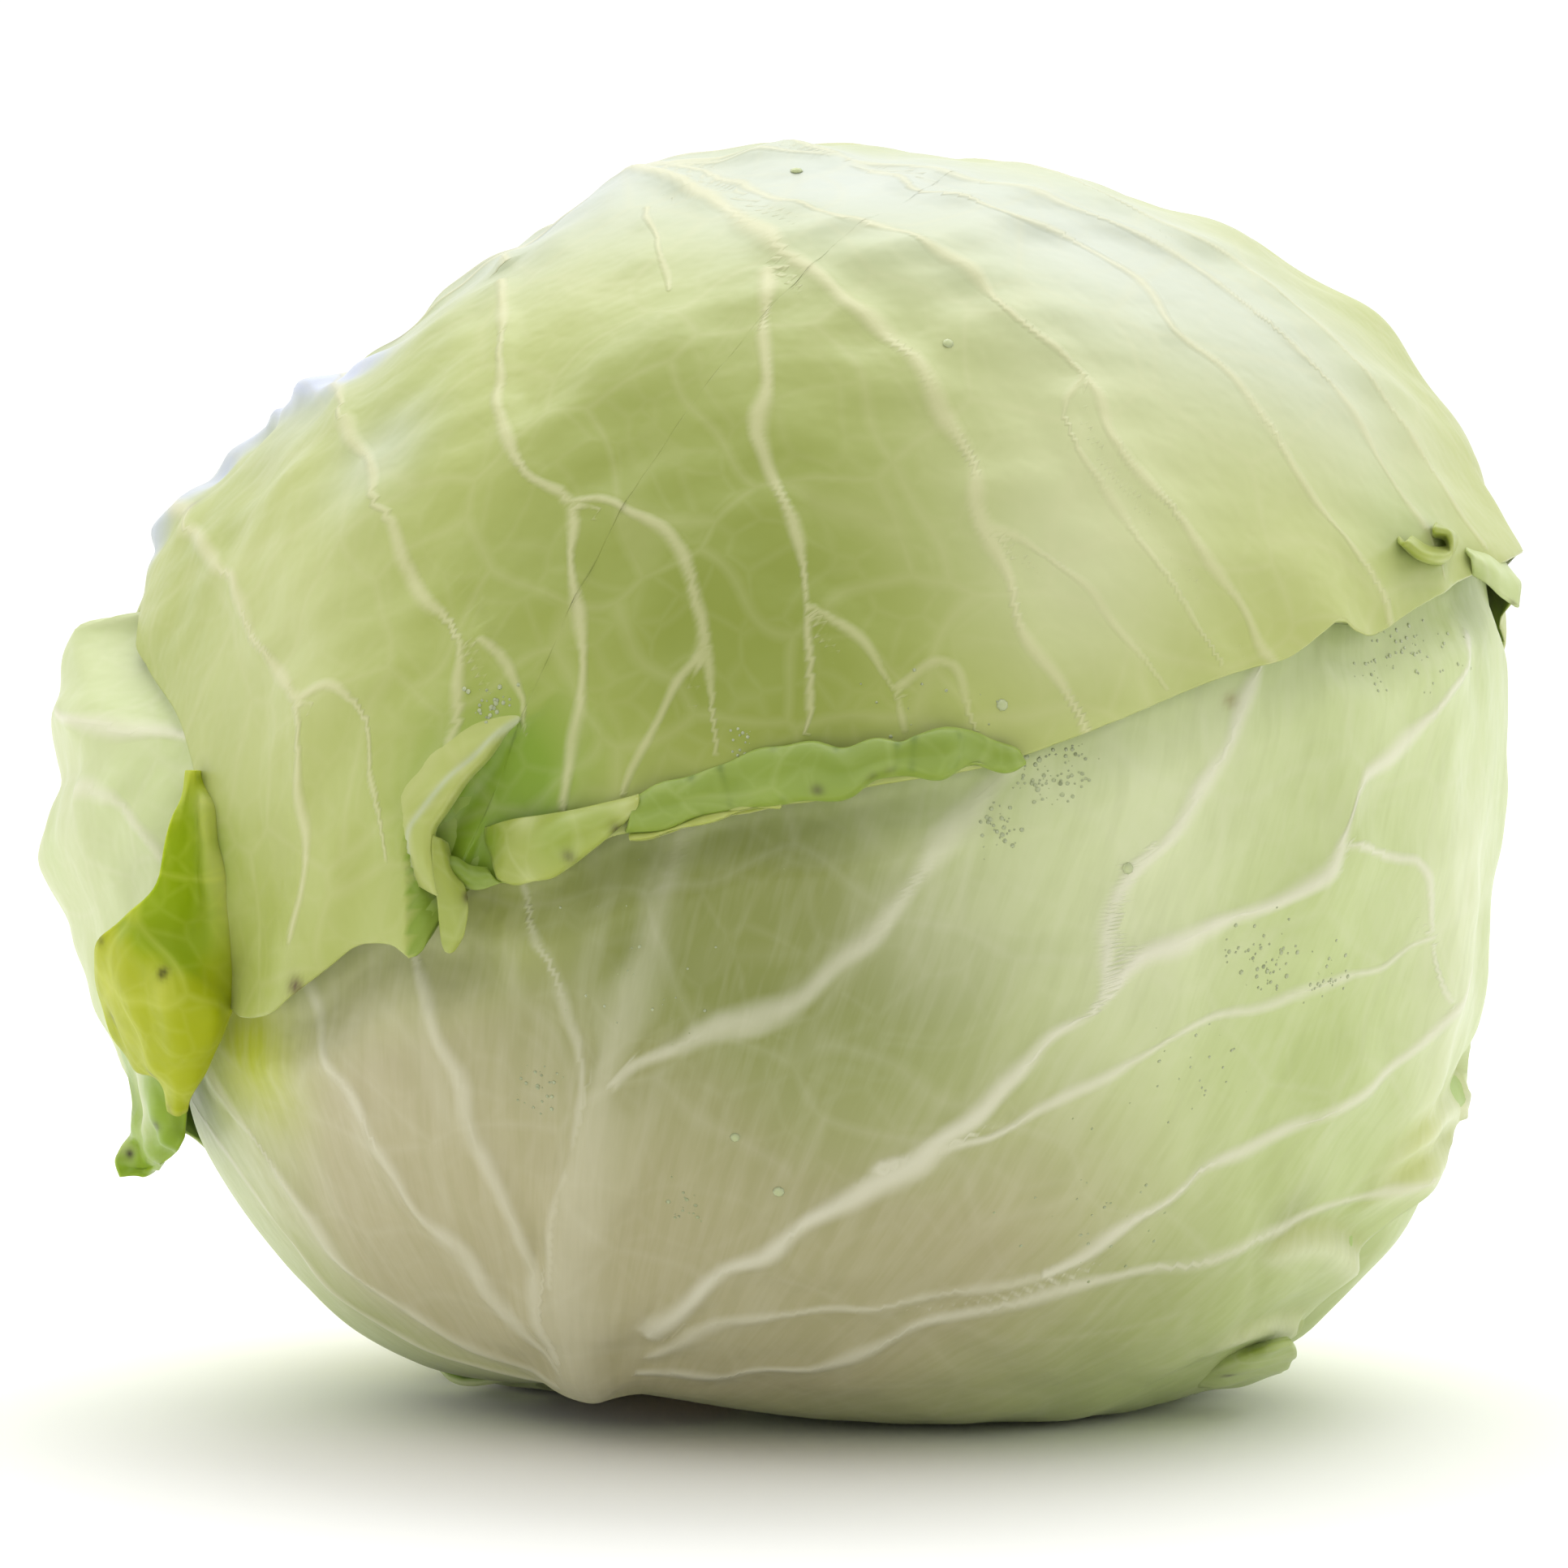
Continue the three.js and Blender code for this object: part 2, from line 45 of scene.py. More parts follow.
head = dict(
    frontRadius=82.4, depthRadius=81.0, middle=(0.0, 0.0, 74.3),
    outlineWaves=((2.9, -3.7), (2.7, 2.2), (-1.4, -1.0), (-1.6, 0.8), (-0.7, 1.2)),
    flatBlend=4.0, hollowDepth=5.0, hollowWidth=14.0,
    stalkWay=(-0.27, -0.2, -0.94), crownWay=(-0.3, 0.5, 0.8),
    layer=1.85,          # depth that one leaf takes, with the air under it
    pressPad=1.0,        # degrees past its margin over which a leaf still presses
    pressRamp=5.0,       # degrees over which the leaf below comes up again
    baseAngle=9.8,
)
middle = np.array(head["middle"])


def unit(v):
    return v / np.linalg.norm(v, axis=-1, keepdims=True)


# Rises from 0 to 1 along 3t^2 - 2t^3, with t held between 0 and 1.
def ease(x):
    t = np.clip(x, 0.0, 1.0)
    return t * t * (3 - 2 * t)


# Smooth curve through [x, y] knots: cubic pieces, each knot's slope taken from the
# knots on either side of it, and flat beyond the ends.
def curve(knots, x):
    table = np.asarray(knots, float)
    xs, ys = table[:, 0], table[:, 1]
    count = len(xs)
    before = np.maximum(np.arange(count) - 1, 0)
    after = np.minimum(np.arange(count) + 1, count - 1)
    slope = (ys[after] - ys[before]) / (xs[after] - xs[before])
    x = np.clip(x, xs[0], xs[-1])
    i = np.clip(np.searchsorted(xs, x, side="right") - 1, 0, count - 2)
    width = xs[i + 1] - xs[i]
    t = (x - xs[i]) / width
    h = t * t * (3 - 2 * t)
    rise = t * (1 - t) ** 2 * slope[i] - t * t * (1 - t) * slope[i + 1]
    return ys[i] * (1 - h) + ys[i + 1] * h + width * rise


# A polar chart on the head: an axis, the side nearest to `facing`, and the quarter.
def makeChart(way, facing=(0.0, -1.0, 0.0)):
    axis, facing = unit(np.array(way, float)), np.array(facing)
    zero = unit(facing - facing.dot(axis) * axis)
    return axis, zero, np.cross(zero, axis)


# direction = axis cos(rho) + sin(rho) (zero cos(psi) + quarter sin(psi)), in degrees.
def fromChart(chart, rho, psi):
    axis, zero, quarter = chart
    rho, psi = np.radians(rho)[..., None], np.radians(psi)[..., None]
    return axis * np.cos(rho) + np.sin(rho) * (zero * np.cos(psi) + quarter * np.sin(psi))


def toChart(chart, n):
    axis, zero, quarter = chart
    rho = np.degrees(np.arccos(np.clip(n @ axis, -1, 1)))
    return rho, np.degrees(np.arctan2(n @ quarter, n @ zero))


stalkChart = makeChart(head["stalkWay"])
crownChart = makeChart(head["crownWay"])


# radius = mean radius + five slow waves round the front outline - the hollow round the
# stalk, as a bell of the angle from the stalk.
def headRadius(n):
    turn = np.arctan2(n[..., 2], n[..., 0])
    rim = np.minimum(1, n[..., 0] ** 2 + n[..., 2] ** 2)
    radius = head["frontRadius"] * rim + head["depthRadius"] * (1 - rim)
    for k, (cosine, sine) in enumerate(head["outlineWaves"], start=1):
        radius = radius + (cosine * np.cos(k * turn) + sine * np.sin(k * turn)) * rim ** (max(k, 2) / 2)
    fromStalk = toChart(stalkChart, n)[0]
    return radius - head["hollowDepth"] * np.exp(-((fromStalk / head["hollowWidth"]) ** 2))


# point = middle + direction x radius, lifted onto the floor of its layer by a short
# parabola where it would go below it.
def pointOn(n, radius, floor):
    points = middle + n * radius[..., None]
    blend = head["flatBlend"]
    above = points[..., 2] - floor
    turned = floor + (above + blend) ** 2 / (4 * blend)
    z = np.where(above >= blend, points[..., 2], np.where(above <= -blend, floor, turned))
    return np.concatenate([points[..., :2], z[..., None]], axis=-1)


view = dict(
    size=1932, lengthPerPixel=180 / 1826, elevation=4.0, distance=850.0,
    aimRight=-34, aimUp=-1,  # where the camera aims beside the head's middle, in pixels
    sensor=36.0,
)
tilt = math.radians(view["elevation"])
forward = np.array([0, math.cos(tilt), -math.sin(tilt)])
upward = np.array([0, math.sin(tilt), math.cos(tilt)])
rightward = np.array([1.0, 0, 0])
pixel = view["lengthPerPixel"]
aim = middle + pixel * (view["aimRight"] * rightward + view["aimUp"] * upward)
eye = aim - view["distance"] * forward


# Point that shows at a pixel and stands `height` off the head: the view line through
# the pixel is cut with the sphere of the local radius, ten times over. Beside the
# head it is the nearest point of that line.
def placeAt(pixels, height=0.0):
    pixels = np.asarray(pixels, float)
    half = view["size"] / 2
    ray = unit(
        view["distance"] * forward
        + (pixels[..., :1] - half) * pixel * rightward
        + (half - pixels[..., 1:2]) * pixel * upward
    )
    nearest = ((middle - eye) * ray).sum(-1)
    offset = eye + ray * nearest[..., None] - middle
    apart = (offset ** 2).sum(-1)
    along = nearest - 80.0
    for _ in range(10):
        n = unit(eye + ray * along[..., None] - middle)
        along = nearest - np.sqrt(np.maximum(0, (headRadius(n) + height) ** 2 - apart))
    return eye + ray * along[..., None]


def directionAt(pixels):
    return unit(placeAt(pixels) - middle)


# Smooth random waves: a sum of plane waves of about one length, in every direction.
def waves(points, length, seed, count=16):
    draw = np.random.default_rng(seed)
    ways = unit(draw.normal(size=(count, 3)))
    size = 2 * np.pi / (length * draw.uniform(0.75, 1.4, count))
    phase = draw.uniform(0, 2 * np.pi, count)
    return np.cos(points @ (ways * size[:, None]).T + phase).sum(-1) * math.sqrt(2 / count)


# Catmull-Rom curve through the rows of `points`, `steps` pieces between two rows.
def smoothLine(points, steps):
    points = np.asarray(points, float)
    ahead = 2 * points[-1] - points[-2]
    behind = 2 * points[0] - points[1]
    p = np.concatenate([[behind], points, [ahead]])
    t = np.arange(0, len(points) - 1 + 1e-9, 1 / steps)
    i = np.minimum(t.astype(int), len(points) - 2)
    t = (t - i).reshape((-1,) + (1,) * (points.ndim - 1))
    a, b, c, d = p[i], p[i + 1], p[i + 2], p[i + 3]
    return b + 0.5 * t * (c - a + t * (2 * a - 5 * b + 4 * c - d + t * (3 * (b - c) + d - a)))


# Bend from a direction behind the head into the start of a line that shows:
# b(t) = (1-t)^3 p + 3(1-t)^2 t q + 3(1-t) t^2 r + t^3 s, with r straight before the line.
def bendInto(start, line, count):
    first, ahead = line[0], unit(line[1] - line[0])
    before = first - ahead * np.linalg.norm(first - start) * 0.4
    between = start + (before - start) * 0.5
    t = np.linspace(0, 1, count)[:-1, None]
    return unit(
        (1 - t) ** 3 * start + 3 * (1 - t) ** 2 * t * between + 3 * (1 - t) * t ** 2 * before + t ** 3 * first
    )


# A rib: a line of directions with its half width and height at both ends.
def rib(pixels=(), width=(1.2, 0.5), height=(0.7, 0.2), tint=1.0, chart=(), behind=None, standing=0.0):
    line = fromChart(stalkChart, *np.array(chart, float).T) if len(chart) else unit(placeAt(pixels, standing) - middle)
    if behind is not None:
        line = np.concatenate([bendInto(fromChart(stalkChart, *np.array(behind, float)), line, 8), line])
    return dict(path=unit(smoothLine(line, 3)), width=width, height=height, tint=tint)


# For each direction, with d the distance to the nearest rib over its half width: the
# height = the most of rise x exp(-(distance / bell width)^2), d with the sign of its
# side of the rib, and the rib's paleness close to it, less half way between two ribs.
# The lines wander from their paths by slow waves of a fraction of a millimetre.
def ribField(n, ribs, scale, seed):
    flat = n.reshape(-1, 3)
    wander = np.stack([waves(flat * 80, 9, seed + k, 8) for k in range(3)], -1) * 0.3 / 80
    swell = 1 + np.clip(0.22 * waves(flat * 80, 12, seed + 3, 8), -0.3, 0.4)
    height, side, near = np.zeros(len(flat)), np.full(len(flat), 99.0), np.zeros(len(flat))
    first, second = np.full(len(flat), 99.0), np.full(len(flat), 99.0)
    for one in ribs:
        path = one["path"]
        reach = 5 * max(one["width"]) / 80.0 + 0.04
        close = np.where((flat @ path[::3].T).max(1) > math.cos(reach + 0.06))[0]
        here = flat[close] + wander[close]
        best, place, turned = np.full(len(close), 1e9), np.zeros(len(close)), np.zeros(len(close))
        for i in range(len(path) - 1):
            a, ab = path[i], path[i + 1] - path[i]
            t = np.clip((here - a) @ ab / (ab @ ab), 0, 1)
            away = here - a - t[:, None] * ab
            gap = (away ** 2).sum(1)
            better = gap < best
            best = np.where(better, gap, best)
            place = np.where(better, (i + t) / (len(path) - 1), place)
            turned = np.where(better, np.sign(away @ np.cross(a, ab)), turned)
        gap = np.sqrt(best) * 80.0
        width = (one["width"][0] + (one["width"][1] - one["width"][0]) * place) * scale * swell[close]
        rise = one["height"][0] + (one["height"][1] - one["height"][0]) * place
        height[close] = np.maximum(height[close], rise * np.exp(-((gap / np.maximum(1.6 * width, 2.0)) ** 2)))
        apart = gap / width
        paleness = one["tint"] * (1 - 0.25 * place) * ease((1.3 * width + 1.6 - gap) / 0.8)
        paleness *= np.where((place > 0) & (place < 1), 1.0, ease(1.3 - apart))
        past = gap - width
        nearer = past < first[close]
        second[close] = np.where(nearer, first[close], np.minimum(second[close], past))
        first[close] = np.where(nearer, past, first[close])
        side[close] = np.where(nearer, turned * apart, side[close])
        near[close] = np.where(nearer, paleness, near[close])
    near *= 1 - ease((2.2 - (second - first)) / 1.2) * ease((first + 0.1) / 0.6)
    return tuple(values.reshape(n.shape[:-1]) for values in (height, np.clip(side, -8, 8), near))


# Ribs that fan out from the stalk on a leaf that the photograph doesn't show: one
# midrib, and side ribs that leave it one after another and bend away.
def fanOfRibs(around, spread, count, seed, end=115, width=1.3):
    draw = np.random.default_rng(seed)
    rho = np.linspace(head["baseAngle"] + 1, end, 12)
    sway = draw.uniform(-3, 3)
    ribs = [rib(chart=np.stack([rho, around + sway * np.sin(rho / 25)], 1), width=(2.2, 0.8), height=(1.8, 0.3))]
    for side in (-1, 1):
        for k in range(count):
            start = 12 + 58 * (k / count) ** 1.3 + draw.uniform(-2, 2)
            reach = spread * (1 - 0.55 * k / count) * draw.uniform(0.9, 1.1)
            rows = np.linspace(start, end, 12)
            psi = around + side * reach * (1 - np.exp(-(rows - start) / 38)) + 1.5 * np.sin(rows / 9 + k)
            ribs.append(rib(chart=np.stack([rows, psi], 1), width=(width, 0.5), height=(0.8, 0.15), tint=0.8))
    return ribs


# Sides and tips are given as in the solids: sides as the angle round the stalk at each
# angle away from it, tips as the angle away from the stalk at each part across.
backLeaf = dict(
    name="leaf_back", piece="back_leaf", slot="back_leaf", around=180, grid=(216, 152), ribScale=0.8,
    left=[[9, 112], [40, 122], [80, 132], [110, 142]],
    right=[[9, 248], [40, 244], [80, 238], [110, 230]],
    tip=[[0, 98], [0.15, 112], [0.5, 122], [0.85, 112], [1, 98]],
    ribs=fanOfRibs(180, 62, 7, 11),
)
rightLeaf = dict(
    name="leaf_right", piece="right_leaf", slot="right_leaf", around=115, grid=(216, 152), ribScale=0.8,
    left=[[9, 112], [20, 108], [30, 101], [40, 90], [48, 74], [56, 60], [66, 51], [85, 50], [110, 62]],
    right=[[9, 196], [40, 184], [75, 168], [110, 150]],
    tip=[[0, 98], [0.2, 114], [0.5, 124], [0.8, 114], [1, 96]],
    ribs=fanOfRibs(140, 66, 7, 12),
)
frontLeaf = dict(
    name="leaf_front", piece="front_leaf", slot="front_leaf", around=20, grid=(400, 200), ribScale=0.9,
    left=[[9, -125], [25, -128], [45, -118], [60, -105], [75, -94], [90, -84], [120, -80]],
    right=[
        [9, 168], [20, 152], [30, 131], [40, 110], [48, 95], [55, 84], [62, 77],
        [69, 75], [76, 81], [84, 92], [95, 97], [110, 92], [125, 84],
    ],
    tip=[
        [0, 78], [0.15, 80], [0.22, 78], [0.33, 84], [0.44, 94], [0.5, 99],
        [0.61, 108], [0.72, 119], [0.8, 126], [0.9, 127], [1, 114],
    ],
    ribs=[
        rib([(735, 1700), (715, 1620), (715, 1530), (730, 1430), (750, 1330), (780, 1230), (810, 1130),
             (838, 1030), (860, 930)], (3.9, 1.9), (3.0, 1.4), 0.3),
        rib([(800, 1640), (900, 1560), (1000, 1500), (1130, 1430), (1280, 1290), (1340, 1240), (1360, 1180),
             (1380, 1100), (1440, 1030), (1480, 980), (1530, 900), (1555, 840), (1570, 800)], (1.6, 0.9), (0.9, 0.45), 0.85),
        rib([(1340, 1240), (1400, 1190), (1480, 1150), (1625, 1080), (1650, 1040), (1680, 960), (1740, 900),
             (1790, 830), (1810, 780)], (1.2, 0.9), (0.6, 0.4), 0.9),
        rib([(1080, 1440), (1200, 1400), (1310, 1350), (1430, 1280), (1520, 1255), (1640, 1215), (1710, 1190),
             (1765, 1150)], (0.8, 0.6), (0.4, 0.3), 0.7),
        rib([(1280, 1560), (1400, 1490), (1500, 1440), (1640, 1360), (1760, 1260), (1800, 1190)],
            (1.1, 0.8), (0.5, 0.4), 0.85),
        rib([(800, 1670), (900, 1620), (1100, 1600), (1280, 1560)], (1.2, 1.0), (0.5, 0.5), 0.6),
        rib([(790, 1690), (1000, 1680), (1130, 1630), (1300, 1580), (1560, 1520), (1660, 1480), (1740, 1430)],
            (1.3, 0.8), (0.6, 0.4), 0.75),
        rib([(760, 1330), (850, 1280), (970, 1240), (1130, 1080), (1180, 1020), (1250, 940)], (1.5, 1.6), (0.3, 0.6), 0.55),
        rib([(690, 1640), (690, 1500), (720, 1380), (700, 1240), (640, 1110), (620, 1060)], (1.1, 0.9), (0.7, 0.5), 0.4),
        rib([(700, 1660), (640, 1500), (590, 1400), (570, 1320), (530, 1240), (500, 1160), (490, 1100)],
            (1.3, 0.9), (0.9, 0.6), 0.5),
        rib([(705, 1675), (600, 1570), (530, 1490), (480, 1410), (430, 1330), (380, 1250), (350, 1180)],
            (1.3, 0.9), (0.9, 0.6), 0.55),
        rib([(700, 1690), (600, 1660), (470, 1580), (390, 1500), (320, 1420), (255, 1330), (225, 1270)],
            (1.3, 0.9), (0.9, 0.6), 0.55),
        rib([(690, 1700), (560, 1670), (430, 1600), (340, 1510), (270, 1420), (220, 1340)], (1.2, 0.8), (0.7, 0.5), 0.6),
        rib([(1440, 1030), (1400, 1060), (1385, 1100), (1370, 1170)], (0.7, 0.5), (0.4, 0.2), 0.5),
        rib([(1650, 1040), (1740, 1060), (1760, 1140), (1770, 1230)], (0.7, 0.6), (0.5, 0.4), 0.7),
    ],
)
leftLeaf = dict(
    name="leaf_left", piece="left_leaf", slot="left_leaf", around=-115, grid=(240, 200), ribScale=1.25,
    left=[[9, -168], [40, -166], [60, -160], [80, -150], [100, -140]],
    right=[
        [9, -118], [25, -124], [34, -121], [41, -112], [47, -98], [53, -82], [58, -70],
        [64, -58], [76, -56], [86, -66], [100, -78],
    ],
    tip=[[0, 84], [0.2, 96], [0.5, 102], [0.8, 100], [1, 94]],
    # How far the leaf stands off the head at each angle from the stalk, most where it
    # makes the outline at the left.
    standOff=[
        [36, 0], [44, 1.2], [50, 3.0], [56, 4.4], [61, 5.2], [64, 6.4], [67, 8.9], [69, 10.2], [72, 9.2],
        [74, 8.2], [76, 8.8], [79, 9.8], [81, 9.0], [84, 9.4], [87, 9.2], [90, 8.8], [94, 7.4], [100, 3.4],
    ],
    standAt=-94, standWide=20,
    swells=[(92, -88, 4.0, 14)],
    ribs=[
        rib([(75, 882), (105, 890), (135, 897), (152, 920), (165, 960), (185, 1000), (205, 1025), (230, 1060)],
            (0.75, 0.6), (0.5, 0.4), standing=8.0),
        rib([(135, 893), (155, 880), (175, 863), (200, 895), (222, 925), (240, 960)], (0.8, 0.6), (0.6, 0.4), 0.9, standing=8.0),
        rib([(187, 815), (203, 850), (215, 885), (235, 940)], (1.0, 0.7), (0.7, 0.4), 0.9, standing=8.0),
        rib([(85, 970), (105, 990), (122, 1030), (135, 1065), (145, 1100), (160, 1140)], (0.8, 0.6), (0.6, 0.3), 0.8, standing=8.0),
    ] + fanOfRibs(-142, 40, 5, 13),
)
topLeaf = dict(
    name="leaf_top", piece="top_leaf", slot="top_leaf", grid=(560, 152), ribScale=0.8,
    # Margin seen in the photograph, from the right corner to the left side, in pixels.
    marginPixels=[
        (1842, 690), (1800, 712), (1764, 732), (1733, 751), (1688, 782), (1655, 780), (1631, 768),
        (1586, 808), (1540, 822), (1500, 835), (1420, 868), (1330, 905), (1255, 932), (1195, 948),
        (1130, 958), (1060, 970), (1007, 985), (935, 993), (865, 1008), (812, 1024), (765, 1026),
        (720, 1048), (680, 1070), (642, 1084), (610, 1084), (580, 1090), (562, 1120), (550, 1160), (535, 1157),
        (515, 1150), (490, 1150), (460, 1157), (430, 1180), (390, 1213), (365, 1234), (325, 1243),
        (290, 1238), (270, 1215), (258, 1150), (250, 1090), (244, 1040), (238, 985), (228, 930),
        (212, 875), (194, 820), (189, 770), (190, 723),
    ],
    # Margin round the back, from the left side to the right corner: angle from the
    # crown and angle round it.
    marginBehind=[
        [60, 78], [64, 86], [77, 94], [92, 101], [106, 108], [116, 114], [118, 120], [113, 128], [105, 139],
        [99, 156], [96, 180], [98, -150], [96, -125], [95, -100], [97, -84],
    ],
    fanWay=(0.38, 0.05, 0.92),   # middle of the grid, from which the margin shows without overlaps
    swells=[(92, -88, 4.0, 14)],
    ribs=[
        rib([(860, 235), (920, 270), (966, 310), (1030, 360), (1080, 400), (1120, 440), (1150, 490), (1190, 560),
             (1215, 640), (1240, 710), (1260, 770), (1290, 820), (1330, 880), (1345, 905)],
            (2.0, 0.9), (1.3, 0.35), 0.9, behind=(42, 178)),
        rib([(930, 228), (1000, 265), (1090, 285), (1190, 340), (1250, 400), (1330, 460), (1390, 570), (1470, 660),
             (1550, 790), (1570, 815)], (1.3, 0.8), (0.8, 0.35), 0.8, behind=(44, 172)),
        rib([(900, 200), (980, 190), (1130, 230), (1250, 270), (1340, 300), (1410, 340), (1450, 400), (1530, 465),
             (1600, 580), (1680, 700), (1700, 770)], (1.3, 0.8), (0.8, 0.35), 0.75, behind=(46, 166)),
        rib([(1060, 200), (1250, 240), (1400, 290), (1480, 330), (1560, 390), (1640, 470), (1700, 560), (1740, 640),
             (1760, 720)], (1.1, 0.7), (0.7, 0.35), 0.65, behind=(48, 160)),
        rib([(1200, 190), (1330, 240), (1450, 290), (1560, 350), (1650, 430), (1720, 520), (1770, 600), (1800, 680)],
            (1.0, 0.7), (0.6, 0.3), 0.6, behind=(50, 154)),
        rib([(760, 238), (690, 262), (640, 300), (620, 400), (610, 455), (628, 540), (660, 590), (700, 625), (712, 770),
             (718, 820), (700, 960), (695, 1000)], (1.5, 0.8), (0.9, 0.4), 0.95, behind=(42, 186)),
        rib([(700, 622), (765, 620), (840, 690), (865, 790), (840, 840), (790, 930), (770, 975)],
            (0.9, 0.6), (0.5, 0.3), 0.75),
        rib([(560, 330), (480, 400), (440, 450), (430, 510), (470, 600), (510, 720), (570, 795), (567, 870), (570, 960)],
            (1.4, 0.8), (0.9, 0.4), 0.9, behind=(44, 194)),
        rib([(590, 790), (625, 820), (645, 870), (640, 900)], (0.8, 0.5), (0.4, 0.2), 0.7),
        rib([(245, 640), (290, 720), (310, 780), (370, 860), (375, 930), (380, 1000), (390, 1080), (385, 1150)],
            (1.5, 0.8), (0.9, 0.4), 1.0, behind=(46, 206)),
        rib([(370, 860), (405, 848), (440, 850), (462, 890), (475, 950), (490, 1000), (500, 1060)],
            (0.9, 0.5), (0.5, 0.2), 0.8),
        rib([(945, 330), (940, 440), (935, 540), (975, 640), (990, 720), (998, 800), (995, 910)],
            (1.1, 0.6), (0.6, 0.3), 0.85),
        rib([(800, 250), (806, 300), (820, 355)], (0.8, 0.4), (0.4, 0.15), 0.7),
        rib([(1215, 640), (1300, 690), (1370, 760), (1440, 850)], (0.8, 0.5), (0.4, 0.2), 0.5),
        rib([(1330, 460), (1310, 520), (1380, 640), (1450, 740), (1500, 820)], (0.8, 0.5), (0.4, 0.2), 0.5),
        rib([(865, 790), (880, 850), (882, 930)], (0.7, 0.5), (0.4, 0.2), 0.6),
        rib([(998, 740), (1060, 790), (1110, 850), (1112, 905)], (0.7, 0.4), (0.3, 0.2), 0.55),
        rib([(1112, 850), (1150, 815), (1180, 830), (1205, 900)], (0.7, 0.4), (0.3, 0.2), 0.5),
    ],
    # A crumpled crest just behind the outline at the upper left: (x, y, height).
    crest=[(214, 690, 1.2), (225, 668, 2.6), (262, 622, 2.4), (300, 585, 2.0), (345, 545, 2.2), (395, 505, 2.4),
           (440, 475, 1.6), (500, 440, 0.3)],
    crestBehind=4.5,     # degrees behind the outline
    # The fold at the left: the leaf on its left side stands off, most near the margin.
    pleat=[
        (700, 830, 0.0), (685, 850, 0.6), (660, 875, 1.4), (635, 890, 2.0), (615, 907, 2.5), (595, 935, 3.0),
        (570, 962, 3.6), (547, 997, 4.2), (532, 1020, 4.6), (531, 1050, 4.8), (537, 1090, 4.6), (545, 1170, 4.0),
    ],
)
leaves = [backLeaf, rightLeaf, frontLeaf, leftLeaf, topLeaf]

# The top leaf's margin round the place that its columns fan out from: the angle from
# that place at each angle round it, and the columns shared out evenly along the margin.
fanChart = makeChart(topLeaf["fanWay"])
behind = fromChart(crownChart, *np.array(topLeaf["marginBehind"], float).T)
margin = np.concatenate([directionAt(topLeaf["marginPixels"]), behind])
margin = unit(smoothLine(np.concatenate([margin[-2:], margin, margin[:2]]), 6))
marginRho, marginPsi = toChart(fanChart, margin)
marginPsi = np.unwrap(marginPsi, period=360)
onward = np.maximum.accumulate(marginPsi + 1e-6 * np.arange(len(marginPsi)))
kept = np.concatenate([[True], np.diff(onward) > 1e-4])
topLeaf["rim"] = np.stack([marginPsi, marginRho])[:, kept]


def rimAt(psi):
    knots, rho = topLeaf["rim"]
    return np.interp(knots[0] + (psi - knots[0]) % 360, knots, rho)


around = np.linspace(-180, 180, 4001)
onRim = fromChart(fanChart, rimAt(around), around)
facing = 1.0 + 1.4 * ease(-onRim[:, 1] * 2 + 0.6)
share = np.linalg.norm(np.gradient(onRim, axis=0), axis=1) * facing + 0.0004
topLeaf["columnsAt"] = np.stack([np.insert(np.cumsum(share)[:-1], 0, 0) / np.cumsum(share)[-2], around])


# Directions on a leaf at the parts across and along. On the top leaf, along is the
# share of the way from the fan's middle to the rim; on the others, from base to tip.
def leafDirections(leaf, across, along):
    if "rim" in leaf:
        psi = np.interp(across, *leaf["columnsAt"])
        rho = along * rimAt(psi)
        return fromChart(fanChart, rho, psi), rho, psi
    rho = head["baseAngle"] + along * (curve(leaf["tip"], across) - head["baseAngle"])
    left = curve(leaf["left"], rho)
    psi = left + across * (curve(leaf["right"], rho) - left)
    return fromChart(stalkChart, rho, psi), rho, psi


# Degrees from each direction to the nearest point of a leaf's margin.
def angleToMargin(leaf, n):
    t = np.linspace(0, 1, 700 if "rim" in leaf else 221)
    if "rim" in leaf:
        outline = leafDirections(leaf, t, np.ones_like(t))[0]
    else:
        sides = ((t, np.ones_like(t)), (np.zeros_like(t), t), (np.ones_like(t), t))
        outline = np.concatenate([leafDirections(leaf, *side)[0] for side in sides])
    flat = n.reshape(-1, 3)
    nearest = np.concatenate([
        (flat[i:i + 10000] @ outline.T).max(1) for i in range(0, len(flat), 10000)
    ])
    return np.degrees(np.arccos(np.clip(nearest, -1, 1))).reshape(n.shape[:-1])


# The same, but 0 under the leaf.
def angleAway(leaf, n):
    if "rim" in leaf:
        rho, psi = toChart(fanChart, n)
        under = rho <= rimAt(psi)
    else:
        rho, psi = toChart(stalkChart, n)
        left = curve(leaf["left"], rho)
        turned = leaf["around"] + (psi - leaf["around"] + 540) % 360 - 180
        across = (turned - left) / (curve(leaf["right"], rho) - left)
        under = (across >= 0) & (across <= 1) & (rho <= curve(leaf["tip"], across))
    return np.where(under, 0.0, angleToMargin(leaf, n))


# How many leaves press on a direction: each counts 1 under its blade and a little
# past its margin, and then eases off to 0.
def coverOver(level, n):
    total = np.zeros(n.shape[:-1])
    for leaf in leaves[level + 1:]:
        total += ease((head["pressPad"] + head["pressRamp"] - angleAway(leaf, n)) / head["pressRamp"])
    return total


# Triangles of a grid with rows along the second index; wrapped grids close on themselves.
def gridTriangles(columns, rows, wrap=False, start=0):
    index = np.arange(columns * rows).reshape(columns, rows) + start
    following = np.roll(index, -1, 0) if wrap else index[1:]
    index = index if wrap else index[:-1]
    a, b = index[:, :-1], following[:, :-1]
    c, d = following[:, 1:], index[:, 1:]
    return np.concatenate([np.stack([a, b, c], -1).reshape(-1, 3), np.stack([a, c, d], -1).reshape(-1, 3)])


